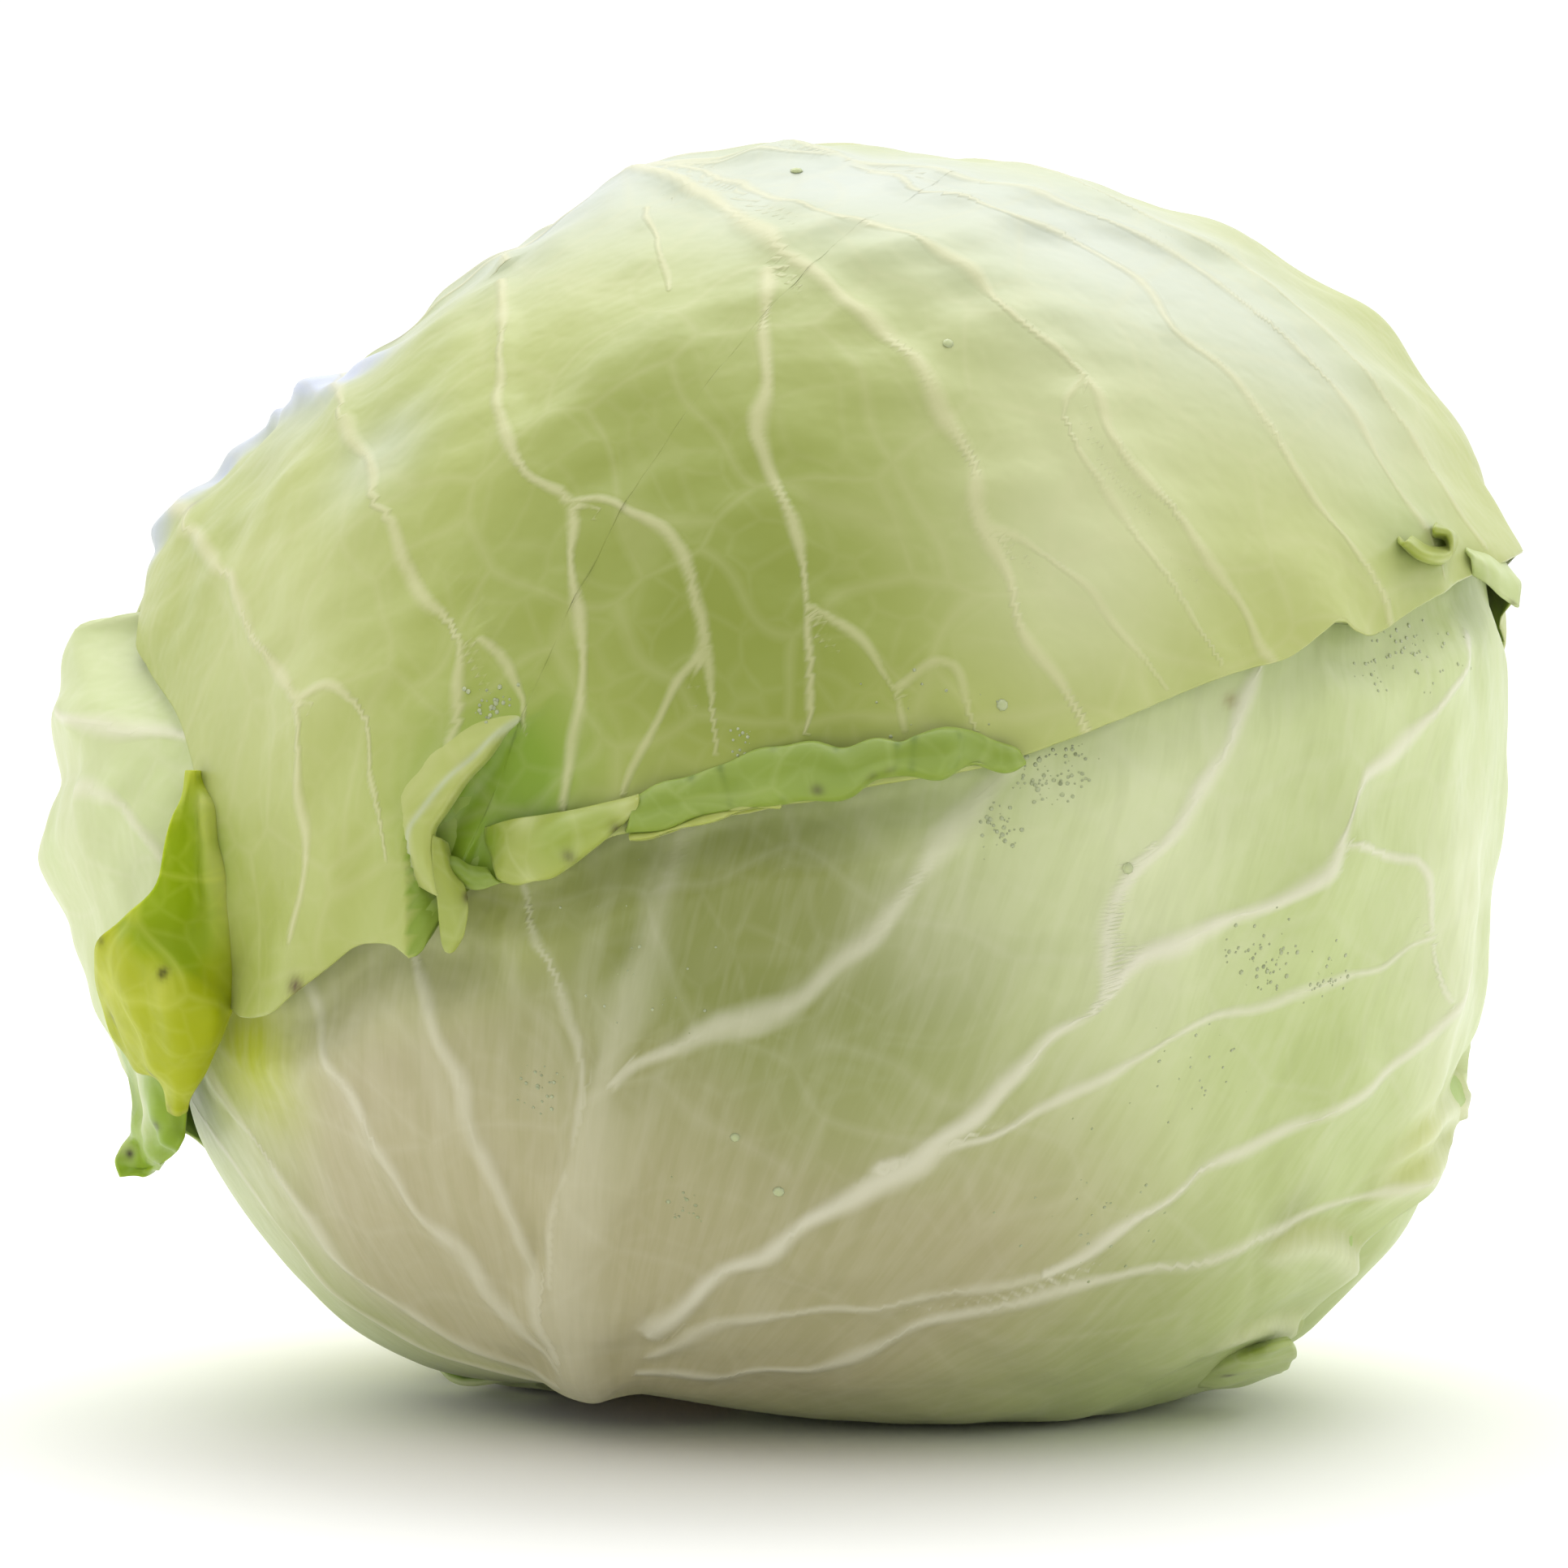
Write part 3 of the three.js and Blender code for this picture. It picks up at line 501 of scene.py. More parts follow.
def makePiece(name, points, triangles, fields, material, replaced=()):
    a, b, c = (points[triangles[:, k]] for k in range(3))
    if (np.cross(a, b) * c).sum() < 0:
        triangles = triangles[:, ::-1]
    mesh = bpy.data.meshes.new(name)
    mesh.vertices.add(len(points))
    mesh.vertices.foreach_set("co", (points * metre).astype(np.float32).ravel())
    mesh.loops.add(triangles.size)
    mesh.loops.foreach_set("vertex_index", np.ascontiguousarray(triangles, np.int32).ravel())
    mesh.polygons.add(len(triangles))
    mesh.polygons.foreach_set("loop_start", np.arange(0, triangles.size, 3, dtype=np.int32))
    mesh.polygons.foreach_set("use_smooth", np.ones(len(triangles), bool))
    mesh.update(calc_edges=True)
    for field, values in fields.items():
        layer = mesh.attributes.new(field, "FLOAT", "POINT")
        layer.data.foreach_set("value", np.asarray(values, np.float32))
    mesh.materials.append(material)
    piece = bpy.data.objects.new(name, mesh)
    bpy.context.scene.collection.objects.link(piece)
    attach(piece, "root")
    if replaced:
        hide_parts(*replaced)
    print("made", name, len(triangles), "triangles")
    return piece


# The band between a fine loop and a loop with a quarter as many points: five triangles
# for each coarse side, so that no gap is left.
def stitch(fine, coarse):
    ahead = np.roll(coarse, -1)
    f = np.concatenate([fine, fine[:1]])
    m = [f[k:len(fine) + k:4] if k < 4 else f[4::4] for k in range(5)]
    rows = [(m[1], m[0], coarse), (m[2], m[1], coarse), (coarse, ahead, m[2]), (m[3], m[2], ahead), (m[4], m[3], ahead)]
    return np.concatenate([np.stack(row, -1) for row in rows])


# The loop round a grid, once round from its first corner, and each point's neighbour
# one step inside the grid.
def gridLoop(columns, rows):
    i = np.concatenate([
        np.arange(columns - 1), np.full(rows - 1, columns - 1),
        np.arange(columns - 1, 0, -1), np.zeros(rows - 1, int),
    ])
    j = np.concatenate([
        np.zeros(columns - 1, int), np.arange(rows - 1),
        np.full(columns - 1, rows - 1), np.arange(rows - 1, 0, -1),
    ])
    inside = np.clip(i, 1, columns - 2) * rows + np.clip(j, 1, rows - 2)
    return i * rows + j, inside


# A closed sheet: the outside grid, a rounded edge, and an inside with every point or
# every fourth one. The edge's middle line stands out from the blade by a little. Each
# field has a value for each point of the outside and is carried over to the rest.
def closeSheet(outer, inner, fields, wrap=False, skip=4, bead=0.2):
    columns, rows = outer.shape[:2]
    first = (rows - 1) % skip if wrap else 0
    sparse = inner[::skip, first::skip]
    innerStart = columns * rows
    cells = np.arange(sparse.shape[0] * sparse.shape[1]).reshape(sparse.shape[:2]) + innerStart
    triangles = [gridTriangles(columns, rows, wrap), gridTriangles(*sparse.shape[:2], wrap, innerStart)[:, ::-1]]
    if wrap:
        turn = -np.arange(columns) % columns
        fine, neighbour = turn * rows + rows - 1, turn * rows + rows - 2
        coarse = cells[-np.arange(len(cells)) % len(cells), -1]
    else:
        fine, neighbour = gridLoop(columns, rows)
        coarse = innerStart + gridLoop(*sparse.shape[:2])[0]
    flatOuter = outer.reshape(-1, 3)
    outerEdge, innerEdge = flatOuter[fine], inner.reshape(-1, 3)[fine]
    away = unit(outerEdge - flatOuter[neighbour] + 1e-9)
    edge = np.arange(len(fine)) + cells.max() + 1
    points = [flatOuter, sparse.reshape(-1, 3), (outerEdge + innerEdge) / 2 + away * bead]
    triangles.append(np.stack([np.roll(fine, -1), fine, edge], -1))
    triangles.append(np.stack([np.roll(fine, -1), edge, np.roll(edge, -1)], -1))
    if skip == 4:
        triangles.append(stitch(edge, coarse))
    else:
        triangles.append(np.stack([np.roll(edge, -1), edge, coarse], -1))
        triangles.append(np.stack([np.roll(edge, -1), coarse, np.roll(coarse, -1)], -1))
    if wrap:
        pole = edge.max() + 1
        points += [outer[:, 0].mean(0)[None], inner[:, 0].mean(0)[None]]
        start, startIn = np.arange(columns) * rows, cells[:, 0]
        triangles.append(np.stack([np.full(columns, pole), np.roll(start, -1), start], -1))
        triangles.append(np.stack([np.full(len(startIn), pole + 1), startIn, np.roll(startIn, -1)], -1))
    carried = {}
    fields = dict(fields, inside=np.zeros((columns, rows)))
    for name, values in fields.items():
        within = values[::skip, first::skip].ravel()
        if name == "inside":
            within = within + 1
        ends = [values[0, 0]] * 2 if wrap else []
        carried[name] = np.concatenate([values.ravel(), within, values.ravel()[fine], ends])
    return np.concatenate(points), np.concatenate(triangles), carried


# sRGB hex text to a linear colour.
def colour(text):
    parts = np.array([int(text[i:i + 2], 16) for i in (1, 3, 5)]) / 255
    linear = np.where(parts <= 0.04045, parts / 12.92, ((parts + 0.055) / 1.055) ** 2.4)
    return (*linear.tolist(), 1.0)


# Adds one node: `values` sets its sockets, `links` joins them to other nodes' sockets.
def addNode(tree, kind, values={}, links={}, **settings):
    node = tree.nodes.new(kind)
    for key, value in settings.items():
        setattr(node, key, value)
    for key, value in values.items():
        node.inputs[key].default_value = value
    for key, socket in links.items():
        tree.links.new(socket, node.inputs[key])
    return node


def newMaterial(name):
    material = bpy.data.materials.new(name)
    material.use_nodes = True
    material.node_tree.nodes.clear()
    return material, material.node_tree


# Cabbage leaf: a thin, cool, matt wax over a soft blade. Light goes a little way into
# the thin flaps, so that they glow. The ribs are pale ridges with smooth sides; the
# finest veins make a net, drawn by the edges of a cell pattern that a noise bends, and
# near the stalk faint fibres run with the ribs.
# Painted shade, painted glow and painted highlights come into its colour from fields on the mesh.
def leafMaterial(name, look):
    material, tree = newMaterial(name)
    place = addNode(tree, "ShaderNodeTexCoord").outputs["Object"]
    fields = {}
    for title in ("ribSide", "ribNear", "deep", "pale", "paintedHighlight", "paintedGlowAndShadeGreen", "inside", "brown", "turn", "reach"):
        fields[title] = addNode(tree, "ShaderNodeAttribute", attribute_name=title).outputs["Fac"]
    noises = {}
    for size, detail in ((34, 1.0), (14, 0.0), (9, 3.0), (1.6, 0.0)):
        noises[size] = addNode(
            tree, "ShaderNodeTexNoise", {"Scale": 1 / (size * metre), "Detail": detail}, {"Vector": place},
        )

    apart = addNode(tree, "ShaderNodeMath", links={0: fields["ribSide"]}, operation="ABSOLUTE")
    ridge = addNode(
        tree, "ShaderNodeMapRange", {1: 1.6, 2: 0.1, 3: 0.0, 4: 1.0}, {0: apart.outputs[0]},
        interpolation_type="SMOOTHSTEP",
    )
    ribLine = addNode(
        tree, "ShaderNodeMath", links={0: ridge.outputs[0], 1: fields["ribNear"]}, operation="MULTIPLY",
    ).outputs[0]

    wander = addNode(
        tree, "ShaderNodeVectorMath", {1: (0.5, 0.5, 0.5)}, {0: noises[14].outputs["Color"]}, operation="SUBTRACT",
    )
    shift = addNode(tree, "ShaderNodeVectorMath", {"Scale": 0.007}, {0: wander.outputs[0]}, operation="SCALE")
    moved = addNode(tree, "ShaderNodeVectorMath", links={0: place, 1: shift.outputs[0]}, operation="ADD")
    nets = []
    for size, thick, share in ((look["netSize"], 0.055, 1.0), (look["netSize"] * 0.36, 0.11, 0.45)):
        cells = addNode(
            tree, "ShaderNodeTexVoronoi", {"Scale": 1 / (size * metre)}, {"Vector": moved.outputs[0]},
            feature="DISTANCE_TO_EDGE",
        )
        nets.append(addNode(
            tree, "ShaderNodeMapRange", {1: 0.0, 2: thick, 3: share, 4: 0.0}, {0: cells.outputs["Distance"]},
        ))
    net = addNode(
        tree, "ShaderNodeMath", links={0: nets[0].outputs[0], 1: nets[1].outputs[0]}, operation="MAXIMUM",
    ).outputs[0]

    along = addNode(tree, "ShaderNodeMath", {1: 0.12}, {0: fields["reach"]}, operation="MULTIPLY")
    fibrePlace = addNode(tree, "ShaderNodeCombineXYZ", links={0: fields["turn"], 1: along.outputs[0]})
    fibres = addNode(
        tree, "ShaderNodeTexNoise", {"Scale": 0.55, "Detail": 3.0, "Roughness": 0.65}, {"Vector": fibrePlace.outputs[0]},
    ).outputs["Fac"]

    # Colours from the blade up: what each follows, where it starts and is full, its
    # largest share, and the colour.
    layers = (
        (noises[34].outputs["Fac"], 0.35, 0.68, 1.0, "bladeToo"),
        (noises[9].outputs["Fac"], 0.42, 0.75, 0.35, "mottle"),
        (fields["pale"], 0.0, 1.0, 1.0, "pale"),
        # darker green: the leaf's own darker tones and painted shade
        (fields["deep"], 0.0, 1.0, 1.0, "deep"),
        # painted sheen and highlights, as a pale cool colour
        (fields["paintedHighlight"], 0.0, 1.0, 1.0, "paintedHighlight"),
        # painted glow of light through thin leaf and painted shade in valleys, as a saturated green
        (fields["paintedGlowAndShadeGreen"], 0.0, 1.0, 1.0, "paintedGlowAndShadeGreen"),
        (fibres, 0.45, 0.75, look.get("fibres", 0.0), "rib"),
        (fibres, 0.5, 0.25, look.get("fibres", 0.0), "deep"),
        (fields["inside"], 0.0, 1.0, look.get("innerShare", 0.8), "inner"),
        (net, 0.0, 1.0, look["netShare"], "rib"),
        (ribLine, 0.0, 1.0, look.get("ribShare", 0.7), "rib"),
        (fields["brown"], 0.0, 1.0, 1.0, "brown"),
    )
    tone = None
    for socket, low, high, most, title in layers:
        share = addNode(tree, "ShaderNodeMapRange", {1: low, 2: high, 3: 0.0, 4: most}, {0: socket})
        under = {6: colour(look["blade"])} if tone is None else {}
        over = {0: share.outputs[0]} if tone is None else {0: share.outputs[0], 6: tone}
        tone = addNode(tree, "ShaderNodeMix", {7: colour(look[title]), **under}, over, data_type="RGBA").outputs[2]

    # Heights for the bump: each pattern times its height, added up.
    relief = None
    for socket, height in ((ribLine, 0.9), (noises[1.6].outputs["Fac"], 0.25), (noises[9].outputs["Fac"], 1.1)):
        joined = {0: socket} if relief is None else {0: socket, 2: relief}
        relief = addNode(tree, "ShaderNodeMath", {1: height}, joined, operation="MULTIPLY_ADD").outputs[0]
    bump = addNode(
        tree, "ShaderNodeBump", {"Strength": look.get("bump", 0.5), "Distance": 0.6 * metre}, {"Height": relief},
    )
    rough = addNode(
        tree, "ShaderNodeMapRange", {1: 0.3, 2: 0.7, 3: look["rough"] - 0.06, 4: look["rough"] + 0.08},
        {0: noises[9].outputs["Fac"]},
    )
    shader = addNode(
        tree, "ShaderNodeBsdfPrincipled",
        {"IOR": 1.42, "Subsurface Weight": look.get("soft", 0.0), "Subsurface Scale": 2.2 * metre,
         "Subsurface Radius": (0.9, 1.0, 0.35), "Coat Weight": look.get("coat", 0.15), "Coat Roughness": 0.3,
         "Specular IOR Level": look.get("gloss", 0.5), "Sheen Weight": look.get("sheen", 0.05), "Sheen Roughness": 0.4, "Sheen Tint": (0.9, 0.96, 1.0, 1.0)},
        {"Base Color": tone, "Roughness": rough.outputs[0], "Normal": bump.outputs[0]},
    )
    addNode(tree, "ShaderNodeOutputMaterial", links={"Surface": shader.outputs[0]})
    return material


# In each look, the palest cool colour is painted sheen and highlight, the saturated green is painted glow through thin
# leaf and painted shade, and the deep green is both the leaf's darker tone and painted shade.
looks = dict(
    leaf_top=dict(
        blade="#b3bb66", bladeToo="#a6b055", mottle="#bec67e", deep="#8a963a", pale="#d4d8a6", paintedGlowAndShadeGreen="#7f9c26",
        paintedHighlight="#ccd3e2", inner="#98b048", rib="#d5d1a4", brown="#5a4425", netSize=17, netShare=0.13, rough=0.42,
        coat=0.2, sheen=0.06,
    ),
    leaf_front=dict(
        blade="#c2cf8f", bladeToo="#b4c27a", mottle="#cbd79a", deep="#80873f", pale="#b9b18a", paintedGlowAndShadeGreen="#b8c010",
        paintedHighlight="#e4e6c4", inner="#9dba55", rib="#e2dfc8", brown="#8a6a42", netSize=19, netShare=0.09, rough=0.4,
        fibres=0.12, coat=0.15, ribShare=0.9,
    ),
    leaf_left=dict(
        blade="#c8d298", bladeToo="#bfcc86", mottle="#d2daa8", deep="#a3b86c", pale="#d4d5ae", paintedGlowAndShadeGreen="#a9c44a",
        paintedHighlight="#e4e9cc", inner="#7fa526", rib="#e2dfc4", brown="#5a4425", netSize=16, netShare=0.15, rough=0.42,
        coat=0.1,
    ),
    leaf_right=dict(
        blade="#bfcc88", bladeToo="#b1c077", mottle="#c9d498", deep="#9aac62", pale="#d2d7ae", paintedGlowAndShadeGreen="#a6bd45",
        paintedHighlight="#e4e9cc", inner="#9dba55", rib="#d9dab8", brown="#5a4425", netSize=18, netShare=0.14, rough=0.42,
        fibres=0.1,
    ),
    leaf_back=dict(
        blade="#b9c880", bladeToo="#abbc70", mottle="#c5d192", deep="#94a75c", pale="#d0d6ac", paintedGlowAndShadeGreen="#a6bd45",
        paintedHighlight="#e4e9cc", inner="#9dba55", rib="#d9dab8", brown="#5a4425", netSize=18, netShare=0.14, rough=0.42,
        fibres=0.1,
    ),
    inner_head=dict(
        blade="#dfe3bd", bladeToo="#d3dba8", mottle="#e4e8c8", deep="#c3cf92", pale="#eceed6", paintedGlowAndShadeGreen="#c9d88c",
        paintedHighlight="#eceed6", inner="#dfe3bd", rib="#eeeeda", brown="#6a5330", netSize=18, netShare=0.3, rough=0.45,
    ),
    rolled_margin=dict(
        blade="#869b38", bladeToo="#7a902c", mottle="#93a844", deep="#5f7818", pale="#a9b562", paintedGlowAndShadeGreen="#8aa624",
        paintedHighlight="#bcc684", inner="#7f9a30", rib="#b4c076", brown="#3e2f18", netSize=11, netShare=0.22, rough=0.4,
        soft=0.3, coat=0.25,
    ),
    pale_lobe=dict(
        blade="#a4ad50", bladeToo="#98a444", mottle="#afb860", deep="#7e922c", pale="#c2c884", paintedGlowAndShadeGreen="#8aa42e",
        paintedHighlight="#c8ce90", inner="#a6c048", rib="#c8d090", brown="#3e2f18", netSize=12, netShare=0.22, rough=0.4,
        soft=0.3, coat=0.25,
    ),
    # The ear's strong yellow-green is partly its own colour and partly painted glow of light through the thin flap.
    thin_ear=dict(
        blade="#a8ae0c", bladeToo="#9ca606", mottle="#b2b81e", deep="#8ba008", pale="#b3bb66", paintedGlowAndShadeGreen="#b2ba62",
        paintedHighlight="#c8cc5c", inner="#a6c048", rib="#c6cc5a", brown="#35270f", netSize=14, netShare=0.32, rough=0.5,
        soft=0.45, coat=0.0, gloss=0.25,
    ),
    left_tip=dict(
        blade="#90ac16", bladeToo="#84a20c", mottle="#9cb626", deep="#6f9204", pale="#c3cc92", paintedGlowAndShadeGreen="#7d9f20",
        paintedHighlight="#d2d8aa", inner="#7fa526", rib="#aec264", brown="#35270f", netSize=10, netShare=0.15, rough=0.4,
        soft=0.3,
    ),
    margin_lobe=dict(
        blade="#bfcc8a", bladeToo="#b3c278", mottle="#cfd8a2", deep="#93a448", pale="#dfe2bc", paintedGlowAndShadeGreen="#c2cb62",
        paintedHighlight="#e6e8cc", inner="#b8c87c", rib="#e0e1c2", brown="#4a3820", netSize=12, netShare=0.2, rough=0.4,
        coat=0.2,
    ),
)
materials = {name: leafMaterial("waxy_" + name, look) for name, look in looks.items()}


# Bells of colour on the head: each is (x, y, radius in millimetres, strength).
def bells(n, spots):
    total = np.zeros(n.shape[:-1])
    for x, y, reach, strength in spots:
        gap = np.sqrt(((n - directionAt([(x, y)])[0]) ** 2).sum(-1)) * 80
        total += strength * np.exp(-((gap / reach) ** 2))
    return np.clip(total, 0, 1)


topLeaf["spots"] = dict(
    # a darker olive tone of the leaf with painted shade, most in the middle left and above the hem
    deep=[(960, 640, 30, 0.6), (820, 770, 24, 0.25), (930, 850, 16, 0.5), (760, 480, 16, 0.3), (640, 700, 12, 0.3),
          (268, 636, 2.5, 0.6)],
    pale=[(1450, 420, 34, 0.4), (330, 800, 18, 0.35), (1280, 620, 16, 0.6), (700, 320, 18, 0.2),
          (1330, 750, 13, 0.4), (1730, 590, 12, 0.6)],
    # painted sheen over the top of the head and painted highlights on the upper left
    paintedHighlight=[(1020, 215, 22, 0.5), (1380, 300, 24, 0.45), (700, 260, 22, 0.6), (1620, 440, 14, 0.2), (420, 480, 12, 0.35),
           (470, 560, 8, 0.25)],
    # painted shade and glow green in the valley by the fold and beside the ear
    paintedGlowAndShadeGreen=[(630, 960, 9, 0.8), (600, 1000, 7, 0.6), (255, 1060, 5, 0.5), (1740, 660, 9, 0.35)],
    brown=[(395, 1203, 0.9, 1.0), (570, 1106, 0.7, 0.9), (268, 636, 1.2, 0.3), (488, 410, 1.8, 0.4)],
)
frontLeaf["spots"] = dict(
    # darker green blotches, and painted shade under the top leaf's margin and towards the bottom
    deep=[(1010, 1280, 24, 0.65), (1170, 1220, 9, 0.2), (620, 1170, 16, 0.4), (820, 1120, 18, 0.55),
          (1050, 1080, 16, 0.4), (1330, 1640, 14, 0.4), (1000, 1660, 18, 0.1), (590, 1700, 13, 1.0),
          (470, 1630, 7, 0.25), (1590, 1500, 4, 0.5)],
    pale=[(520, 1450, 30, 0.95), (760, 1600, 30, 0.9), (760, 1300, 16, 0.6), (1050, 1620, 30, 0.7),
          (1250, 1500, 18, 0.4)],
    # painted light on the brighter right side of the front leaf and on raised parts
    paintedHighlight=[(1800, 1100, 14, 0.4), (1770, 1290, 9, 0.3), (1480, 960, 14, 0.3), (1690, 880, 16, 0.15), (1320, 1080, 16, 0.25),
           (1150, 1150, 9, 0.2), (1420, 1180, 10, 0.25)],
    # painted glow beside the ear, and painted shade green under the lobe and the small folds
    paintedGlowAndShadeGreen=[(285, 1285, 8, 0.85), (325, 1330, 7, 0.35), (1740, 1400, 6, 0.3), (600, 1110, 8, 0.2)],
    brown=[(1530, 860, 0.8, 0.5), (780, 1722, 3.2, 0.8)],
)
# Left leaf: a pale patch, and a saturated green spot of painted glow.
leftLeaf["spots"] = dict(pale=[(90, 1000, 12, 0.5)], paintedGlowAndShadeGreen=[(150, 1030, 5, 0.35)], paintedHighlight=[])


# Depth of a leaf's outside and inside along a direction. outside = head's radius -
# leaves above x layer + ribs + slow puckers + what stands off; the blade thins out
# towards its margin and thickens towards the stalk.
def leafSurface(leaf, level):
    columns, rows = leaf["grid"]
    wrap = "rim" in leaf
    if wrap:
        across = np.arange(columns)[:, None] / columns
        along = 1 - (1 - np.arange(1, rows + 1)[None] / rows) ** 1.25
    else:
        across = np.linspace(0, 1, columns + 1)[:, None]
        along = np.linspace(0, 1, rows + 1)[None]
    across, along = np.broadcast_arrays(across, along)
    n, rho, psi = leafDirections(leaf, across, along)
    toEdge = angleToMargin(leaf, n) * math.pi / 180 * 80
    cover = coverOver(level, n)
    bare = 1 - np.minimum(1, cover)
    height, ribSide, ribNear = ribField(n, leaf["ribs"], leaf["ribScale"], 200 + 10 * level)
    place = n * 80
    pucker = 0.55 * waves(place, 46, 40 + level) + 0.34 * waves(place, 19, 50 + level)
    pucker += 0.14 * waves(place, 8, 60 + level)
    if not wrap:
        pucker = pucker * ease((rho - 14) / 20)
    ruffle = 0.9 * np.exp(-toEdge / 4) * waves(place, 13, 70 + level) * (0.5 if wrap else 1.0)
    relief = (height + pucker + ruffle) * (0.25 + 0.75 * bare)
    fields = {name: bells(n, spots) for name, spots in leaf.get("spots", {}).items()}
    fields.update(ribSide=ribSide, ribNear=ribNear)
    if wrap:
        relief = relief + topLeafFolds(n, toEdge, psi, fields)
    else:
        fields.update(turn=psi, reach=rho)
    if "folds" in leaf:
        relief = relief + smallFolds(n, leaf["folds"], fields)
    # held above the leaf below: lowest + ((r - lowest) + sqrt((r - lowest)^2 + k^2)) / 2
    above = relief - leaf.get("lowest", -0.7)
    radius = headRadius(n) - cover * head["layer"] + relief - above + (above + np.sqrt(above ** 2 + 0.09)) / 2
    for atRho, atPsi, top, wide in leaf.get("swells", ()):
        centre = fromChart(stalkChart, np.array(atRho, float), np.array(atPsi, float))
        radius = radius + top * np.exp(-((n - centre) ** 2).sum(-1) / math.radians(wide) ** 2)
    if "standOff" in leaf:
        turned = leaf["around"] + (psi - leaf["around"] + 540) % 360 - 180
        bell = np.exp(-(((turned - leaf["standAt"]) / leaf["standWide"]) ** 2))
        radius = radius + curve(leaf["standOff"], rho) * bell * ease((angleAway(topLeaf, n) - 0.5) / 2.8)
    thickness = 0.38 + 0.42 * ease(toEdge / 9)
    if not wrap:
        thickness = thickness + 0.9 * ease((24 - rho) / 14)
    depth = cover * head["layer"]
    outer = pointOn(n, radius, depth)
    inner = pointOn(n, radius - thickness, depth + thickness)
    return outer, inner, fields, wrap


# The top leaf's own forms: its margin lies down on the leaf below, lifts in waves at
# the lower left, and a fold runs up from the lifted part.
frontLeaf["folds"] = [
    dict(path=[(1545, 1552), (1572, 1541), (1600, 1533), (1626, 1532), (1650, 1545), (1666, 1572), (1672, 1604)],
         tops=[0.0, 0.9, 1.5, 1.8, 1.8, 1.5, 0.8], reach=9, green=0.9),
    dict(path=[(1686, 1474), (1716, 1450), (1745, 1428), (1775, 1402), (1802, 1372)],
         tops=[0.4, 1.4, 1.6, 1.6, 1.4], reach=4, green=0.8),
    dict(path=[(1700, 1440), (1735, 1402), (1768, 1378), (1800, 1346)],
         tops=[0.3, 1.0, 1.2, 1.4], reach=3, green=0.5),
    dict(path=[(1478, 1662), (1510, 1650), (1545, 1640), (1590, 1636)],
         tops=[0.0, 0.8, 1.2, 1.2], reach=5, green=0.4),
]
topLeaf["lifts"] = [
    (1842, 690, 3.0), (1764, 732, 1.0), (1700, 775, 0.6), (1631, 768, 1.2), (1500, 835, 0.0), (1255, 932, 0.3),
    (812, 1024, 0.6), (642, 1084, 1.2), (575, 1095, 1.5), (550, 1160, 3.6), (515, 1150, 2.4), (460, 1157, 1.2),
    (400, 1203, 3.2), (340, 1242, 2.6), (290, 1238, 1.2), (258, 1150, 0.2), (212, 875, 0.2), (190, 723, 0.6),
]


# Distance in millimetres from each direction to a path of directions, the side it lies
# on, and a value that runs along the path.
def nearPath(n, path, along):
    best, side, value = np.full(n.shape[:-1], 1e9), np.zeros(n.shape[:-1]), np.zeros(n.shape[:-1])
    for i in range(len(path) - 1):
        a, ab = path[i], path[i + 1] - path[i]
        t = np.clip((n - a) @ ab / (ab @ ab), 0, 1)
        away = n - a - t[..., None] * ab
        gap = (away ** 2).sum(-1)
        better = gap < best
        best = np.where(better, gap, best)
        side = np.where(better, away @ np.cross(a, ab), side)
        value = np.where(better, along[i] + (along[i + 1] - along[i]) * t, value)
    return np.sqrt(best) * 80, side, value


# rise = lift of the margin, as a bell of the distance to it, or a dip where it lies
# down; fold = the step along the pleat, with painted shade and glow green in the valley
# on its right; crest = a ridge with waves along it and a painted highlight along it.
def topLeafFolds(n, toEdge, psi, fields):
    knots = np.array(topLeaf["lifts"])
    liftPsi = toChart(fanChart, directionAt(knots[:, :2]))[1]
    sortedKnots = np.stack([liftPsi, knots[:, 2]], 1)[np.argsort(liftPsi)]
    lift = curve(sortedKnots, psi)
    lift = np.where((psi < liftPsi.min()) | (psi > liftPsi.max()), 0.5, lift)
    rise = lift * np.exp(-((toEdge / 7) ** 1.5)) - 0.9 * np.exp(-toEdge / 2.5) * np.clip(1 - lift, 0, 1)
    gap, side, top = foldDistance(n)
    leftSide = np.exp(-((gap / 11) ** 1.5))
    rightSide = np.exp(-((gap / 1.1) ** 2)) - 0.22 * np.exp(-(((gap - 3.5) / 4) ** 2)) * ease(gap / 1.2)
    fold = 0.75 * top * np.where(side < 0, leftSide, rightSide)
    # painted shade and glow green in the valley right of the pleat
    green = np.where(side > 0, 0.8 * np.exp(-((gap / 9) ** 2)) * top / 4.6, 0)
    fields["paintedGlowAndShadeGreen"] = np.clip(fields["paintedGlowAndShadeGreen"] + green, 0, 1)
    crest = np.array(topLeaf["crest"])
    outline = directionAt(smoothLine(crest[:, :2], 4))
    turn = math.radians(topLeaf["crestBehind"])
    ridge = unit(outline * math.cos(turn) + forward * math.sin(turn))
    gap, _, top = nearPath(n, ridge, smoothLine(crest[:, 2:], 4)[:, 0])
    crumple = 0.75 + 0.35 * waves(n * 80, 7, 81)
    # painted highlight along the crest
    fields["paintedHighlight"] = np.clip(fields["paintedHighlight"] + 0.9 * np.exp(-((gap / 3) ** 2)) * np.minimum(top, 1), 0, 1)
    return rise + fold + top * crumple * np.exp(-((gap / 2.6) ** 2))


